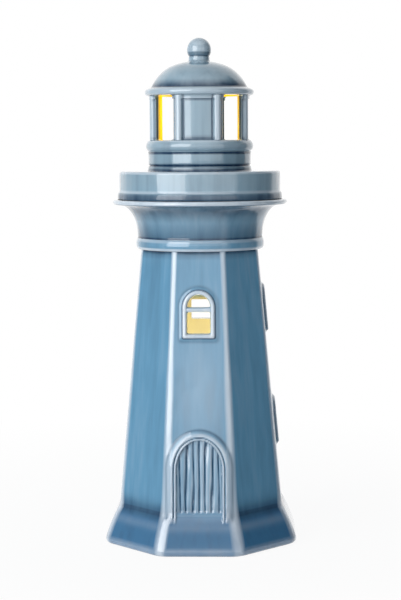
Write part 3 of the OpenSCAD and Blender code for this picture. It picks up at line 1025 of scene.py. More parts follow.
    def eight(self, half: np.ndarray, z: np.ndarray, grid: np.ndarray,
              on_shaft: np.ndarray) -> tuple[np.ndarray, np.ndarray]:
        """Points of a rounded octagon.

        Args:
            half: half its width across the flats, one for each row.
            z: the height of each row.
            grid: the columns.
            on_shaft: whether each row is on the outside of the shaft.

        Returns:
            The x and y of each point, by row and column.
        """
        corner = np.minimum(np.interp(z, *self.corner_r), 0.5 * half)
        flat = (half - corner) * math.tan(math.pi / 8)
        wide = self.share * flat
        near = np.minimum(self.dense, 0.93 * flat)
        over_door = smooth(87.0, 119.0, z)
        front = wide * (1 - over_door) + near * over_door
        side, u, bend = grid[:, 0][None, :], grid[:, 1][None, :], grid[:, 2][None, :]
        inner = np.where(side == 0, front[:, None], near[:, None])
        inner = np.where(on_shaft[:, None] & np.isin(side, (0, 2, 4)), inner, wide[:, None])
        rest = (np.abs(u) - self.share) / (1 - self.share) * (flat[:, None] - inner)
        along = np.where(np.abs(u) <= self.share, u / self.share * inner, np.sign(u) * (inner + rest))
        face = np.radians(side * EIGHTH)
        turn = np.radians(side * EIGHTH + bend)
        x = np.sin(face) * (half - corner)[:, None] + np.cos(face) * along
        y = -np.cos(face) * (half - corner)[:, None] + np.sin(face) * along
        return x + np.sin(turn) * corner[:, None], y - np.cos(turn) * corner[:, None]

    def skin(self) -> Skin:
        """Lays out the whole skin, with the door and the window frames on it.

        Returns:
            The skin, in place.
        """
        rows, grid = self.outline(), self.columns()
        half, z, round_ = rows[:, 0], rows[:, 1], rows[:, 2]
        outside = np.arange(len(rows)) < int(np.argmax(rows[:, 5] > 0.0))
        on_shaft = outside & (z > self.plinth_h - 4.0)
        x, y = self.eight(half, z, grid, on_shaft)
        tx, ty = self.eight(np.array([self.shaft_top]), np.array([self.bead_z]), grid, np.array([True]))
        turn = np.arctan2(ty, tx)
        share = round_[:, None]
        x = x * (1 - share) + np.cos(turn) * half[:, None] * share
        y = y * (1 - share) + np.sin(turn) * half[:, None] * share
        skin = Skin(np.stack([x, y, spread(z, len(grid))], axis=2),
                    {name: spread(rows[:, 3 + i], len(grid)) for i, name in enumerate(PAINTS)})
        sides = outside & (round_ < 0.5) & ((z > self.recess + 0.4) | (half > self.plinth_a - 1.0))
        self.paint_sides(skin, grid, sides, outside)
        for item in (self.door, *self.windows):
            self.raise_relief(skin, item, (on_shaft & (round_ < 0.01))[:, None])
        return skin

    def paint_sides(self, skin: Skin, grid: np.ndarray, sides: np.ndarray,
                    outside: np.ndarray) -> None:
        """Paints the corners, partly a painted highlight; the front's pale patch, partly painted light; and
        the doorstep.

        Args:
            skin: the skin to paint.
            grid: its columns.
            sides: whether each row is one that has corners.
            outside: whether each row is on the outside.
        """
        x, z = skin.place[:, :, 0], skin.place[:, :, 2]
        # The corners break pale: thin glaze, and partly a painted highlight.
        corner = grid[:, 3] * np.sin(np.radians(grid[:, 2] * 4.0))
        crest = sides[:, None] * np.maximum(corner, 0.0)[None, :]
        front = outside[:, None] * (grid[:, 0] == 0)[None, :]
        # A pale patch on the front flat: partly thinner glaze, and partly painted light for the light that
        # falls on the front.
        lit_front = np.clip(1.0 - (x / self.lit_front_half) ** 2, 0.0, 1.0)
        lit_front = front * lit_front * mound(z, self.lit_front_z, self.lit_front_tall)
        step_z = self.step_z + 1.6 * (x / 16.0) ** 2
        calm = 1.0 - smooth(self.step_half - 2.5, self.step_half, np.abs(x))
        calm = front * calm * smooth(0.0, 0.9, z - step_z) * (1.0 - smooth(24.0, 26.0, z))
        edges = [skin.paint["edge"], 0.80 * crest, 0.20 * lit_front, 0.10 * calm]
        skin.paint["edge"] = np.maximum.reduce(edges)
        skin.paint["pool"] = skin.paint["pool"] * (1 - 0.75 * crest) * (1.0 - calm)

    def raise_relief(self, skin: Skin, item: Door | Window, flat: np.ndarray) -> None:
        """Raises the door or a window frame out of its wall, and paints it.

        Args:
            skin: the skin to change.
            item: the door or the window.
            flat: whether each row is a flat one, as a column.
        """
        face = math.radians(item.side * EIGHTH)
        x, y, z = (skin.place[:, :, axis] for axis in range(3))
        along = math.cos(face) * x + math.sin(face) * y
        depth = math.sin(face) * x - math.cos(face) * y
        up = (z - item.base_z) / math.cos(math.atan(self.taper))
        here = flat & (depth > 0) & (np.abs(along) < self.relief_half) & (np.abs(up) < self.relief_tall)
        found = item.relief(along, up)
        height = np.where(here, found.height, 0.0)
        skin.place[:, :, 0] += height * math.sin(face)
        skin.place[:, :, 1] -= height * math.cos(face)
        edge, pool = skin.paint["edge"], skin.paint["pool"]
        skin.paint["edge"] = np.where(here, np.maximum(edge * (1 - found.pool), found.edge), edge)
        skin.paint["pool"] = np.where(here, np.maximum(pool, found.pool) * (1 - found.edge), pool)

    def pane_cutter(self, window: Window) -> bmesh.types.BMesh:
        """Two blocks, one arched, that cut a window's panes through the wall.

        Args:
            window: the window to cut.

        Returns:
            The cutter, in place.
        """
        bm = bmesh.new()
        deep, half = self.cutter_deep, window.half - 0.1
        arch = bmesh.ops.create_circle(bm, cap_ends=True, radius=1.0, segments=64)
        bmesh.ops.scale(bm, vec=(half, window.rise - 0.1, 1.0), verts=arch["verts"])
        geom = bm.verts[:] + bm.edges[:] + bm.faces[:]
        bmesh.ops.bisect_plane(bm, geom=geom, plane_co=(0, 0.1, 0), plane_no=(0, 1, 0), clear_inner=True)
        pushed = bmesh.ops.extrude_face_region(bm, geom=bm.faces[:])
        moved = [item for item in pushed["geom"] if isinstance(item, bmesh.types.BMVert)]
        bmesh.ops.translate(bm, vec=(0, 0, deep), verts=moved)
        bmesh.ops.translate(bm, vec=(0, 0, -deep * 0.7), verts=bm.verts)
        box = bmesh.ops.create_cube(bm, size=1.0)
        bmesh.ops.scale(bm, vec=(2 * half, window.pane - 0.2, deep), verts=box["verts"])
        bmesh.ops.translate(bm, vec=(0, -window.bar - window.pane / 2, -deep * 0.2), verts=box["verts"])
        upright = [edge for edge in bm.edges
                   if abs((edge.verts[0].co - edge.verts[1].co).z) > deep - 1.0
                   and abs(abs(edge.verts[0].co.x) - half) < 0.05]
        bmesh.ops.bevel(bm, geom=upright, offset=0.9, segments=4, profile=0.5, affect="EDGES", material=-1)
        bmesh.ops.recalc_face_normals(bm, faces=bm.faces)
        place = (Matrix.Rotation(math.radians(window.side * EIGHTH), 4, "Z")
                 @ Matrix.Translation((0.0, -self.shaft_a(window.base_z), window.base_z))
                 @ Matrix.Rotation(math.radians(90.0) - math.atan(self.taper), 4, "X"))
        bmesh.ops.transform(bm, matrix=place, verts=bm.verts)
        return bm

    def build(self) -> bpy.types.Object:
        """Builds the tower and puts it in its CAD node's place.

        Returns:
            The tower.
        """
        bm = self.skin().wrap()
        for window in self.windows:
            bm = carve(bm, self.pane_cutter(window), Change.CUT)
        made = to_object(bm, "tower_glazed", self.finish, 52.0)
        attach(made, "tower")
        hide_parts("tower")
        return made


# ---------------------------------------------------------------------------------------
# The lantern top
# ---------------------------------------------------------------------------------------


@dataclass
class LanternTop:
    """The lift-off top: drum, band, sill, lantern room with columns, eave, dome and ball."""

    finish: bpy.types.Material
    seat_z: float = 204.6
    drum_z: float = 221.5
    sill_z: float = 232.6
    room_z: float = 239.6
    eave_z: float = 266.0
    dome_z: float = 271.4
    neck_z: float = 286.3
    spigot_r: float = 36.3
    spigot_t: float = 3.5
    spigot_h: float = 6.0
    drum_r: float = 48.2
    band_r: float = 30.6
    sill_r: float = 32.1
    sill_t: float = 2.9
    room_r: float = 29.2
    room_in: float = 25.8
    column_r: float = 2.5
    eave_r: float = 32.6
    eave_t: float = 1.6
    dome_r: float = 28.4
    dome_h: float = 14.9
    ball_r: float = 7.2
    neck_r: float = 6.2
    neck_h: float = 3.4
    window_w: float = 15.0
    wall: float = 4.0
    deck_in: float = 217.5
    jamb_turn: float = 1.6

    def turns(self) -> np.ndarray:
        """The columns' angles, close together at the uprights.

        Returns:
            The angles in degrees from the front.
        """
        jamb = math.degrees(math.asin(self.window_w / 2 / self.room_r))
        stops = (-EIGHTH / 2, -jamb, -jamb + self.jamb_turn, jamb - self.jamb_turn, jamb, EIGHTH / 2)
        near: list[float] = []
        for low, high, count in zip(stops, stops[1:], (14, 2, 8, 2, 14)):
            near += list(np.linspace(low, high, count + 1)[:-1])
        return np.array([EIGHTH * side + angle for side in range(8) for angle in near])

    def outline(self) -> np.ndarray:
        """The rows of the skin, from the inside of the locating rim over the ball and back.

        Returns:
            One row for each line: radius, height, edge (pale glaze and painted highlight), pool (pooled
                glaze and painted shade), gold and bare.
        """
        rows: list[tuple[float, ...]] = []

        def add(points: list[Point], edge: float = 0.0, pool: float = 0.0,
                gold: float = 0.0, bare: float = 0.0) -> None:
            """Adds points that share one way of painting."""
            rows.extend((r, z, edge, pool, gold, bare) for r, z in points)

        # The locating rim and the unglazed seat.
        seat, spigot = self.seat_z, self.spigot_r
        low = seat - self.spigot_h
        add([(spigot - self.spigot_t, low + 0.4)], gold=0.6)
        add([(spigot - self.spigot_t + 0.5, low), (spigot - 0.6, low), (spigot - 0.1, low + 0.4),
             (spigot, low + 1.0), (spigot, seat - 0.5), (spigot + 0.4, seat + 0.02),
             (44.0, seat + 0.02), (48.0, seat + 0.03)], bare=1.0)

        # The drum and its deck, with painted shade and pooled glaze on the drum's foot over the seat.
        add([(self.drum_r + 0.6, seat + 0.15)], pool=1.0)
        add(ellipse(self.drum_r + 0.4, seat + 1.2, 0.6, 1.0, -70.0, 10.0, 4), pool=0.85)
        add([(self.drum_r + 0.9, seat + 3.0)], pool=0.75)
        add([(self.drum_r + 0.75, seat + 3.9)], pool=0.45)
        add([(self.drum_r + 0.25, seat + 4.6)], edge=0.45)
        add([(self.drum_r + 0.05, seat + 5.3)], edge=0.35)
        add(curve([(self.drum_r, seat + 6.2), (self.drum_r, self.drum_z - 1.9)], 2.4))
        add(ellipse(self.drum_r - 1.6, self.drum_z - 1.6, 1.6, 1.6, 15.0, 85.0, 6), edge=0.5)
        add([(self.drum_r - 2.8, self.drum_z)], edge=0.25)
        add(curve([(44.0, self.drum_z), (33.0, self.drum_z)], 3.0))

        # The band between its two creases, which carry painted shade and pooled glaze, as does the groove
        # under the sill.
        band, deck = self.band_r, self.drum_z
        add([(band + 1.4, deck)], pool=0.7)
        add([(band + 0.7, deck + 0.05), (band + 0.35, deck + 0.4), (band + 0.25, deck + 0.9)], pool=0.9)
        add([(band + 0.2, deck + 1.7), (band + 0.1, deck + 2.4)], pool=0.35)
        add([(band - 0.4, deck + 2.9), (band - 0.75, deck + 3.25), (band - 0.4, deck + 3.6)], pool=1.0)
        add([(band - 0.1, deck + 4.0)], pool=0.7)
        add(curve([(band, deck + 4.8), (band, self.sill_z - 1.6)], 1.6))
        add([(band - 0.05, self.sill_z - 0.9)], pool=0.9)
        add([(band, self.sill_z - 0.3), (band + 0.3, self.sill_z + 0.05)], pool=1.0)

        # The sill.
        for start, end, count, edge in ((-62.0, -20.0, 5, 0.1), (-8.0, 42.0, 6, 0.15)):
            add(ellipse(self.sill_r - self.sill_t, self.sill_z + 3.5, self.sill_t, 3.4,
                        start, end, count), edge=edge)
        add([(31.0, self.room_z - 0.5)], edge=0.5)
        add([(30.7, self.room_z - 0.15)], edge=0.3)
        add([(30.1, self.room_z), (29.6, self.room_z)], pool=0.6)

        # The lantern room's wall, with painted shade and pooled glaze at its foot and a painted shadow
        # under the eave.
        room, eave = self.room_r, self.eave_z
        add([(room, self.room_z + rise) for rise in (0.02, 0.3, 0.7, 1.3)], pool=0.8)
        add([(room, self.room_z + 2.2)], pool=0.3)
        add([(room, z) for z in lines(243.0, 262.0, step=1.9)])
        add([(room, eave - drop) for drop in (3.1, 2.7, 2.45)], pool=0.7)
        add([(room + 0.8, eave - drop) for drop in (2.2, 1.4, 0.7, 0.2)], edge=0.25)

        # The eave and the dome, with painted shade under the eave and in the crease where the dome meets
        # it, fading up the dome's lowest part.
        add([(room + 1.3, eave)], pool=0.9)
        add([(31.0, eave)], pool=0.4)
        add(ellipse(self.eave_r - self.eave_t, eave + 1.9, self.eave_t, 1.9, -75.0, 60.0, 10), edge=0.45)
        add([(31.3, eave + 3.8), (30.5, eave + 4.3)], edge=0.12)
        add([(29.7, eave + 4.5), (28.9, eave + 4.75), (self.dome_r + 0.1, self.dome_z - 0.2)], pool=1.0)
        for turn in np.linspace(2.0, 76.0, 26):
            t = math.sin(math.radians(turn))
            radius = self.dome_r * math.cos(math.radians(turn)) * (1 - 4 * 0.06 * t * (1 - t))
            add([(radius, self.dome_z + (self.dome_h + 0.3) * t)],
                pool=0.85 * max(0.0, 1.0 - (turn - 2.0) / 13.0))

        # The neck and the ball.
        neck, ball = self.neck_r, self.ball_r
        add([(neck + 0.5, self.neck_z + 0.05)], pool=0.4)
        add([(neck + 0.1, self.neck_z + 0.4), (neck, self.neck_z + 1.0),
             (neck - 0.05, self.neck_z + 2.3)], edge=0.15)
        add([(neck - 0.25, self.neck_z + 3.1)], pool=0.9)
        up = math.sqrt(ball**2 - (neck + 0.2) ** 2)
        ball_z = self.neck_z + self.neck_h + up
        start = -math.degrees(math.asin(up / ball))
        add(ellipse(0.0, ball_z, ball, ball, start + 1.0, start + 14.0, 2), pool=0.5)
        add([(max(r, 0.0), z) for r, z in ellipse(0.0, ball_z, ball, ball, start + 20.0, 90.0, 15)],
            edge=0.34)

        # The golden inside, from under the neck down to the locating rim.
        add([(0.0, self.neck_z - self.wall)], gold=1.0)
        add(ellipse(0.0, self.dome_z - 1.0, self.dome_r - self.wall - 0.4,
                    self.dome_h - self.wall + 0.4, 75.0, 5.0, 8), gold=1.0)
        add([(self.room_in - 0.6, eave + 3.6), (self.room_in, eave + 2.0)], gold=1.0)
        add([(self.room_in, z) for z in (eave, *lines(263.0, 242.5, step=5.2), self.room_z)], gold=1.0)
        add(curve([(self.room_in, 237.0), (self.room_in, 218.6)], 6.0), gold=1.0)
        add([(self.room_in + 0.8, self.deck_in + 0.1)], gold=1.0)
        add(curve([(28.0, self.deck_in), (42.5, self.deck_in)], 6.0), gold=1.0)
        drum_in = self.drum_r - self.wall
        add([(drum_in - 0.4, self.deck_in - 0.5), (drum_in, self.deck_in - 1.7), (drum_in, 210.2),
             (drum_in - 0.4, 209.0), (drum_in - 1.6, 208.6)], gold=1.0)
        add([(36.0, 208.6), (33.4, 208.4), (32.8, 207.6), (32.8, 203.0)], gold=1.0)
        return np.array(rows)

    def skin(self) -> Skin:
        """Lays out the skin, with the columns standing out of the lantern room's wall.

        Returns:
            The skin, in place, with its first row again at its end.
        """
        rows = self.outline()
        turns = self.turns()
        radius, z = spread(rows[:, 0], len(turns)), spread(rows[:, 1], len(turns))
        paint = {name: spread(rows[:, 2 + i], len(turns)) for i, name in enumerate(PAINTS)}
        room = (rows[:, 4][:, None] < 0.5) & (z > self.room_z + 0.01) & (z < self.eave_z - 0.01)
        off = np.radians(turns % EIGHTH - EIGHTH / 2)[None, :]
        arc = np.abs(np.degrees(off))
        centre = self.room_r - 0.5
        reach = self.column_r**2 - (centre * np.sin(off)) ** 2
        bulge = centre * np.cos(off) + np.sqrt(np.maximum(reach, 0.0))
        ends = 0.7 * (1 - smooth(0.0, 0.8, z - self.room_z)) + 0.5 * (1 - smooth(0.0, 0.6, self.eave_z - z))
        plain = radius - 0.35 * mound(arc, 5.6, 0.9) + ends
        columned = np.where(reach > 0.0, np.maximum(bulge, plain), plain)
        beside = self.beside(turns, self.room_r)[None, :]
        soft = 0.45 * (1 - np.sqrt(np.clip(1 - (1 - beside / 0.7) ** 2, 0, 1)))
        open_ = (np.round(turns / EIGHTH).astype(int) % 2 == 1)[None, :] & (beside > -0.05) & (beside < 0.7)
        radius = np.where(room, columned - np.where(open_, soft, 0.0), radius)
        # The columns are painted pale, thin glaze and partly a painted highlight; the grooves beside them
        # carry pooled glaze and painted shade.
        crest = np.where(room, np.clip(1 - (arc / 4.6) ** 2, 0.0, 1.0), 0.0)
        groove = np.where(room, mound(arc, 5.9, 1.3), 0.0)
        paint["edge"] = np.maximum(paint["edge"], 0.65 * crest)
        paint["pool"] = np.maximum(paint["pool"] * (1 - crest), groove)
        angle = np.radians(turns)[None, :]
        place = np.stack([np.sin(angle) * radius, -np.cos(angle) * radius, z], axis=2)
        return Skin(np.concatenate([place, place[:1]]),
                    {name: np.concatenate([value, value[:1]]) for name, value in paint.items()})

    def beside(self, turn: Field, out: Field) -> Field:
        """How far a point lies past the side of the nearest side's opening.

        Args:
            turn: the point's angle in degrees from the front.
            out: its distance from the axis.

        Returns:
            The distance, below zero within the opening's width.
        """
        facing = np.radians((turn + EIGHTH / 2) % EIGHTH - EIGHTH / 2)
        return np.abs(out * np.sin(facing)) - self.window_w / 2

    def opening_cutter(self, side: int) -> bmesh.types.BMesh:
        """A block that cuts one of the lantern room's openings.

        Args:
            side: which side of the room, in eighths of a turn from the front.

        Returns:
            The cutter, in place, with points along its depth for the jambs' paint.
        """
        bm = bmesh.new()
        near, far = self.room_r + 5.0, self.room_in / 2
        tall = self.eave_z - self.room_z - 0.02
        bmesh.ops.create_cube(bm, size=1.0)
        bmesh.ops.scale(bm, vec=(self.window_w, near - far, tall), verts=bm.verts)
        middle = (0.0, -(near + far) / 2, self.room_z + 0.01 + tall / 2)
        bmesh.ops.translate(bm, vec=middle, verts=bm.verts)
        deep = [edge for edge in bm.edges if abs((edge.verts[0].co - edge.verts[1].co).y) > 1.0]
        bmesh.ops.bevel(bm, geom=deep, offset=0.8, segments=3, profile=0.5, affect="EDGES", material=-1)
        for depth in lines(self.room_in - 0.5, self.room_r + 0.5, step=0.5):
            geom = bm.verts[:] + bm.edges[:] + bm.faces[:]
            bmesh.ops.bisect_plane(bm, geom=geom, plane_co=(0.0, -depth, 0.0), plane_no=(0.0, 1.0, 0.0))
        turn = Matrix.Rotation(math.radians(side * EIGHTH), 3, "Z")
        bmesh.ops.rotate(bm, cent=(0, 0, 0), matrix=turn, verts=bm.verts)
        return bm

    def line_openings(self, bm: bmesh.types.BMesh) -> None:
        """Paints the openings' cut sides: painted shade with pooled glaze on their outer part, golden
        inside.

        Args:
            bm: the cut mesh, whose points are painted.
        """
        gold, edge, pool = (bm.verts.layers.float[name] for name in ("gold", "edge", "pool"))
        for vert in bm.verts:
            out = vert.co.xy.length
            turn = math.degrees(math.atan2(vert.co.x, -vert.co.y)) % 90.0 - EIGHTH
            beside = abs(out * math.sin(math.radians(turn))) - self.window_w / 2
            upright = self.room_z < vert.co.z < self.eave_z and abs(beside) < 0.9
            if upright and self.room_in - 0.2 < out < self.room_r + 0.6:
                vert[gold] = 1.0 - float(smooth(self.room_in + 0.7, self.room_in + 1.7, out))
                vert[pool] = (1.0 - vert[gold]) * float(smooth(self.room_r + 0.2, self.room_r - 0.8, out))
                vert[edge] = 0.0

    def build(self) -> bpy.types.Object:
        """Builds the lantern top and puts it in its CAD node's place.

        Returns:
            The lantern top.
        """
        bm = self.skin().wrap()
        for side in (1, 3, 5, 7):
            bm = carve(bm, self.opening_cutter(side), Change.CUT)
        self.line_openings(bm)
        made = to_object(bm, "lantern_top_glazed", self.finish, 52.0)
        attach(made, "top")
        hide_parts("lantern_top")
        return made


# ---------------------------------------------------------------------------------------
# The tealight
# ---------------------------------------------------------------------------------------


@dataclass
class Tealight:
    """The battery tealight's moulded cup, with a melted look, and its flame."""

    wax: bpy.types.Material
    flame: bpy.types.Material
    floor_z: float = 6.0
    cup_r: float = 19.0
    cup_h: float = 17.0
    cup_t: float = 1.2
    rim_t: float = 0.6
    dish: float = 4.4
    melt: float = 0.35
    collar_r: float = 3.4
    collar_t: float = 0.6
    hole_gap: float = 0.35
    flame_h: float = 22.0
    flame_r: float = 5.4
    flame_t: float = 0.9
    flame_lean: float = 0.9
    flame_twist: float = 0.9
    flame_shape: tuple[Point, ...] = (
        (0.0, 0.55), (0.14, 0.90), (0.26, 1.0), (0.42, 0.90), (0.64, 0.62), (0.85, 0.30), (0.97, 0.09))
    boss_r: float = 2.0
    boss_hole_r: float = 0.8
    boss_at: Point = (2.6, 14.5)
    boss_low: float = 7.8
    boss_high: float = 19.2

    def bosses(self) -> bmesh.types.BMesh:
        """The two screw bosses.

        Returns:
            Both in one mesh, in place.
        """
        both = bmesh.new()
        section = [(self.boss_hole_r, self.boss_low), (self.boss_r, self.boss_low),
                   (self.boss_r, self.boss_high), (self.boss_hole_r, self.boss_high)]
        for sign in (-1.0, 1.0):
            boss = turned(curve(section, 2.0), 32)
            bmesh.ops.translate(boss, vec=(self.boss_at[0], sign * self.boss_at[1], 0.0), verts=boss.verts)
            mesh = bpy.data.meshes.new("boss")
            boss.to_mesh(mesh)
            boss.free()
            both.from_mesh(mesh)
            bpy.data.meshes.remove(mesh)
        return both

    def cup(self) -> bpy.types.Object:
        """Builds the cup with its melted dish and its two screw bosses.

        Returns:
            The cup.
        """
        top, bottom, wide = self.floor_z + self.cup_h, self.floor_z, self.cup_r
        hole = self.collar_r + self.hole_gap / 2
        dish_low, rim_z = top - self.dish, top - self.cup_t
        middle, reach = self.collar_r + 2.2, wide - self.collar_r - 3.9
        outline = [(wide - self.cup_t, bottom), (wide - 0.3, bottom), (wide, bottom + 0.3)]
        outline += curve([(wide, bottom + 1.0), (wide, rim_z)], 1.6)
        outline += ellipse(wide - self.rim_t, top - self.rim_t, self.rim_t, self.rim_t, 20.0, 160.0, 6)
        outline += ellipse(middle, rim_z, reach, self.dish - self.cup_t, 0.0, -90.0, 14)
        outline += [(hole, dish_low), (hole, dish_low - self.cup_t)]
        outline += ellipse(middle, rim_z - self.cup_t, reach, self.dish - self.cup_t, -90.0, -15.0, 8)
        outline += [(wide - self.cup_t, top - 3.0)]
        bm = turned(outline, 120)
        for vert in bm.verts:
            turn = math.atan2(vert.co.y, vert.co.x)
            high = float(smooth(top - 3.2, top - 0.4, vert.co.z))
            wave = 0.5 * math.sin(3 * turn + 0.6) + 0.3 * math.sin(5 * turn + 2.0)
            wave += 0.2 * math.sin(8 * turn)
            if vert.co.xy.length > wide - 3.2:
                vert.co.z -= high * self.melt * (1.0 + wave)
        bm = carve(bm, self.bosses(), Change.JOIN)
        cup = to_object(bm, "tealight_wax_cup", self.wax, 50.0)
        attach(cup, "tealight")
        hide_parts("tealight_cup")
        return cup

    def flame_piece(self) -> bpy.types.Object:
        """Builds the hollow flame, leaning and twisted a little like a real one.

        Returns:
            The flame.
        """
        low = self.floor_z + self.cup_h - self.dish
        reach, tall = self.flame_r, self.flame_h
        inner = self.collar_r - self.collar_t
        turns = np.linspace(0.0, 0.985, 22)
        width = np.interp(turns, *zip(*self.flame_shape))
        outline = [(inner, low - 1.0), (self.collar_r, low - 1.0), (self.collar_r, low)]
        outline += [(max(self.collar_r, reach * w) if t < 0.05 else reach * w, low + tall * t)
                    for t, w in zip(turns, width)][1:]
        outline += [(0.0, low + tall), (0.0, low + tall * 0.8)]
        outline += [(reach * w - self.flame_t, low + tall * t)
                    for t, w in zip(turns[::-1], width[::-1]) if 0.1 < t < 0.78]
        outline += [(inner, low + 1.2)]
        bm = turned(outline, 64)
        bmesh.ops.dissolve_degenerate(bm, edges=bm.edges, dist=1e-5)
        bmesh.ops.recalc_face_normals(bm, faces=bm.faces)
        for vert in bm.verts:
            up = max(0.0, (vert.co.z - low) / tall)
            pinch = 1.0 - 0.22 * math.sin(math.pi * min(up, 1.0))
            twist = Matrix.Rotation(self.flame_twist * up, 3, "Z")
            vert.co = twist @ Vector((vert.co.x, vert.co.y * pinch, vert.co.z))
            vert.co.x += self.flame_lean * up * up * (1.0 - 0.3 * up)
        bmesh.ops.smooth_vert(bm, verts=[v for v in bm.verts if v.co.z > low + 1.0], factor=0.3,
                              use_axis_x=True, use_axis_y=True, use_axis_z=False)
        made = to_object(bm, "tealight_flame", self.flame, 60.0)
        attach(made, "tealight")
        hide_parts("flame_cap")
        return made


@dataclass(frozen=True)
class Lamp:
    """A small warm light on the lantern's axis, for the glow that the flame throws up."""

    name: str
    height: float
    power: float
    colour: Rgb = (1.0, 0.90, 0.68)
    size: float = 0.012

    def make(self) -> bpy.types.Object:
        """Builds the lamp.

        Returns:
            The lamp, in place.
        """
        data = bpy.data.lights.new(self.name, "POINT")
        data.energy = self.power
        data.color = self.colour
        data.shadow_soft_size = self.size
        made = bpy.data.objects.new(self.name, data)
        made.location = (0.0, 0.0, self.height)
        bpy.context.scene.collection.objects.link(made)
        return made


@dataclass
class Works:
    """The tealight's small CAD parts, which keep their shape and get their finishes."""

    cell: Metal = Metal("cell_can", (0.78, 0.78, 0.77), 0.24, (900.0, 900.0, 900.0))
    strip: Metal = Metal("spring_strip", (0.80, 0.76, 0.68), 0.26)
    wire: Metal = Metal("tinned_wire", (0.80, 0.80, 0.78), 0.3, (400.0, 400.0, 3000.0))
    tin: Metal = Metal("switch_tin", (0.70, 0.71, 0.72), 0.34, (2600.0, 300.0, 300.0))
    steel: Metal = Metal("screw_steel", (0.66, 0.66, 0.66), 0.3, (1500.0, 1500.0, 300.0))
    lens: Glow = Glow("diode_lens", (0.95, 0.88, 0.70), (1.0, 0.72, 0.32), 4.0, 0.0156, 0.0240)
    board: Laminate = Laminate()
    chip: Moulding = Moulding("chip_black", (0.020, 0.020, 0.024), (0.045, 0.045, 0.05), 0.3)
    knob: Moulding = Moulding("knob_black", (0.015, 0.015, 0.016), (0.035, 0.035, 0.035), 0.45)
    ivory: Moulding = Moulding("base_ivory", (0.80, 0.77, 0.68), (0.70, 0.66, 0.56), 0.46)
    cream: Moulding = Moulding("cover_cream", (0.72, 0.69, 0.60), (0.62, 0.58, 0.49), 0.5)

    def finishes(self) -> dict[str, Glow | Laminate | Metal | Moulding]:
        """Each node's finish."""
        return {
            "led": self.lens, "led_leads": self.wire, "circuit_board": self.board,
            "resistor": self.chip, "switch_case": self.tin, "switch_knob": self.knob,
            "negative_contact": self.strip, "positive_contact": self.strip, "coin_cell": self.cell,
            "base_cover": self.ivory, "base_screws": self.steel, "battery_cover": self.cream,
        }

    def dress(self) -> None:
        """Gives each node its finish."""
        made: dict[str, bpy.types.Material] = {}
        for node, finish in self.finishes().items():
            if finish.name not in made:
                made[finish.name] = finish.make()
            mesh = frame["nodes"][node].data
            mesh.materials.clear()
            mesh.materials.append(made[finish.name])
            LOG.info("dressed %s with %s", node, finish.name)


# ---------------------------------------------------------------------------------------
# The studio
# ---------------------------------------------------------------------------------------


def round_axis(turn: float, away: float, height: float) -> Vector:
    """A place round the lantern, by its turn in degrees from the front to the right."""
    angle = math.radians(turn)
    return Vector((away * math.sin(angle), -away * math.cos(angle), height))


def facing(place: Vector, height: float) -> Matrix:
    """A placement that looks from a place at the lantern's axis."""
    aim = Vector((0.0, 0.0, height)) - place
    return Matrix.Translation(place) @ aim.to_track_quat("-Z", "Y").to_matrix().to_4x4()


def stage_sheet(name: str, wide: float, tall: float, place: Matrix,
                finish: bpy.types.Material) -> bpy.types.Object:
    """Makes a flat rectangle for the studio.

    Args:
        name: the object's name.
        wide: its width.
        tall: its height, or its depth if it lies flat.
        place: where its middle is and how it is turned.
        finish: its material.

    Returns:
        The new object, at the origin.
    """
    bm = bmesh.new()
    bmesh.ops.create_grid(bm, x_segments=1, y_segments=1, size=0.5)
    bmesh.ops.transform(bm, matrix=place @ Matrix.Diagonal((wide, tall, 1.0, 1.0)), verts=bm.verts)
    return placed(bm, name, finish)


@dataclass(frozen=True)
class Softbox:
    """The left softbox: its lamp, and the bright cloth that only the glaze reflects."""

    turn: float = -42.0
    away: float = 1.25
    middle: float = 0.62
    wide: float = 0.95
    tall: float = 1.40
    aim_z: float = 0.16
    power: float = 9.0
    cloth_turn: float = -39.0
    cloth_away: float = 1.2
    cloth_middle: float = 0.57
    cloth_wide: float = 0.945
    cloth_tall: float = 1.06
    cloth_aim_z: float = 0.45
    cloth_light: float = 5.2

    def lamp(self) -> None:
        """Adds the rectangular lamp, which lights the lantern and isn't reflected."""
        data = bpy.data.lights.new("left_softbox", "AREA")
        data.shape = "RECTANGLE"
        data.size, data.size_y = self.wide, self.tall
        data.energy = self.power
        made = bpy.data.objects.new("left_softbox", data)
        made.matrix_world = facing(round_axis(self.turn, self.away, self.middle), self.aim_z)
        made.visible_glossy = False
        bpy.context.scene.collection.objects.link(made)

    def cloth(self) -> None:
        """Adds the cloth, which shows in reflections and lights nothing else."""
        sheet = Sheet(bpy.data.materials.new("softbox_cloth"))
        finish = sheet.show(sheet.glow((1.0, 1.0, 1.0), self.cloth_light))
        place = facing(round_axis(self.cloth_turn, self.cloth_away, self.cloth_middle), self.cloth_aim_z)
        made = stage_sheet("softbox_front", self.cloth_wide, self.cloth_tall, place, finish)
        for kind in ("camera", "diffuse", "shadow", "transmission"):
            setattr(made, f"visible_{kind}", False)


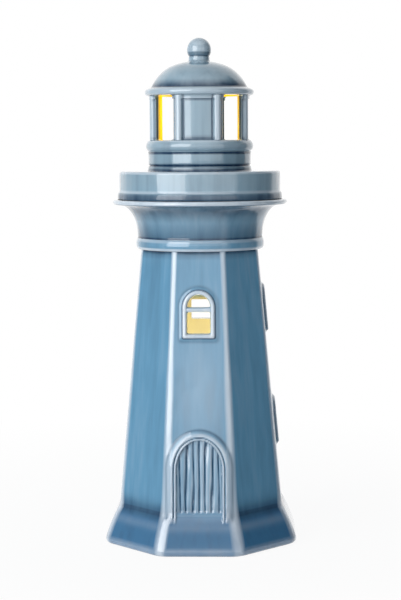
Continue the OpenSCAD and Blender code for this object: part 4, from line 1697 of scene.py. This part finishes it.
@dataclass
class Studio:
    """The camera, the softbox, the white surroundings and the floor."""

    distance: float = 0.950
    camera_z: float = 0.23676
    pitch: float = 5.597
    azimuth: float = 1.7
    roll: float = 0.35
    lens: float = 94.90
    sensor: float = 36.0
    clip: float = 0.05
    floor_wide: float = 12.0
    floor_z: float = -0.0002
    white: Rgb = (1.0, 1.0, 1.0)
    dull: Rgb = (0.05, 0.055, 0.06)
    shade: Rgb = (0.30, 0.32, 0.34)
    key: Rgb = (1.02, 1.04, 1.06)
    dark: Rgb = (0.05, 0.06, 0.07)
    behind: Rgb = (0.90, 0.93, 0.96)
    pale: Rgb = (0.92, 0.92, 0.92)

    def camera(self) -> None:
        """Sets the camera where the photograph was taken from."""
        data = bpy.data.cameras.new("camera")
        data.lens = self.lens
        data.sensor_width = self.sensor
        data.clip_start = self.clip
        made = bpy.data.objects.new("camera", data)
        made.matrix_world = (Matrix.Translation(round_axis(self.azimuth, self.distance, self.camera_z))
                             @ Matrix.Rotation(math.radians(self.azimuth), 4, "Z")
                             @ Matrix.Rotation(math.radians(90.0 - self.pitch), 4, "X")
                             @ Matrix.Rotation(math.radians(-self.roll), 4, "Z"))
        bpy.context.scene.collection.objects.link(made)
        bpy.context.scene.camera = made

    def lit(self, sheet: Sheet, plain: bpy.types.NodeSocket, white: bpy.types.NodeSocket,
            share: Number, side: Value, low: Number) -> bpy.types.NodeSocket:
        """Shows white to the rays that see the surroundings, but for the studio's dark sides.

        Args:
            sheet: the tree to add to.
            plain: the shader that lights the lantern.
            white: the white shader that is seen.
            share: how much of the white is seen.
            side: the sine of the direction's turn from the front to the right.
            low: how much of the dark sides there is at the direction's height.

        Returns:
            The mixed shader.
        """
        dark = side.between(0.77, 0.85) * 0.92 + (side * -1.0).between(0.75, 0.95) * 0.6
        both = sheet.blend(sheet.seen() * share, plain, white)
        return sheet.blend(sheet.ray(Ray.GLOSSY) * dark * low, both, sheet.glow(self.dull))

    def surroundings(self) -> None:
        """White to the camera and in reflections, with soft light from the front, left and back."""
        world = bpy.data.worlds.new("surroundings")
        bpy.context.scene.world = world
        sheet = Sheet(world)
        toward = sheet.node("ShaderNodeTexCoord").outputs["Generated"]
        across, ahead, up = (sheet.part(toward, axis) for axis in "XYZ")
        side = across / ((1.001 - up * up) ** 0.5)
        front = (ahead * -0.92 - across * 0.40).between(0.30, 0.85)
        tone = sheet.mix(front, self.shade, self.key)
        tone = sheet.mix(across.between(0.05, 0.60), tone, self.dark)
        tone = sheet.mix(ahead.between(0.25, 0.75), tone, self.behind)
        veil = 1.0 - up.between(0.22, 0.42) + up.between(0.60, 0.80) * 1.2
        bright = 1.0 + sheet.ray(Ray.GLOSSY) * (ahead * -1.0).between(-0.1, 0.5) * veil * 0.9
        sheet.show(self.lit(sheet, sheet.glow(tone), sheet.glow(self.white, bright), 1.0, side,
                            1.0 - up.between(0.70, 0.80)))

    def floor(self) -> None:
        """A wide pale floor that keeps the lantern's shadow."""
        sheet = Sheet(bpy.data.materials.new("pale_floor"))
        plain = sheet.node("ShaderNodeBsdfDiffuse", None, {"Color": self.pale}).outputs[0]
        here = sheet.here()
        length = sheet.node("ShaderNodeVectorMath", {"operation": "LENGTH"}, {0: here})
        away = Value(sheet, length.outputs["Value"])
        side = sheet.part(here, "X") / (away + 0.001)
        share = 0.93 + away.between(0.10, 0.42) * 0.07
        shown = self.lit(sheet, plain, sheet.glow(self.white), share, side, away.between(0.07, 0.16))
        made = stage_sheet("floor", self.floor_wide, self.floor_wide,
                           Matrix.Translation((0.0, 0.0, self.floor_z)), sheet.show(shown))

    def build(self) -> None:
        """Sets up the whole studio."""
        bpy.context.scene.view_settings.view_transform = "Standard"
        self.camera()
        self.surroundings()
        self.floor()
        softbox = Softbox()
        softbox.cloth()
        softbox.lamp()


def main() -> None:
    """Builds the studio, the two castings and the tealight, and reports each piece."""
    logging.basicConfig(level=logging.INFO, format="%(name)s: %(message)s")
    Studio().build()
    glaze = Glaze().make()
    wax = Moulding("ivory_wax", (0.86, 0.82, 0.70), (0.78, 0.72, 0.58), 0.4, 0.15).make()
    flame = Glow("flame_amber", (1.0, 0.80, 0.45), (1.0, 0.60, 0.18), 2.2, 0.018, 0.042).make()
    tealight = Tealight(wax, flame)
    for build in (Tower(glaze).build, LanternTop(glaze).build, tealight.cup, tealight.flame_piece):
        made = build()
        LOG.info("%s: %d faces", made.name, len(made.data.polygons))
    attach(Lamp("tower_glow", 0.095, 0.036).make(), "tealight")
    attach(Lamp("lantern_glow", 0.252, 0.022).make(), "top")
    Works().dress()


if __name__ == "__main__":
    main()
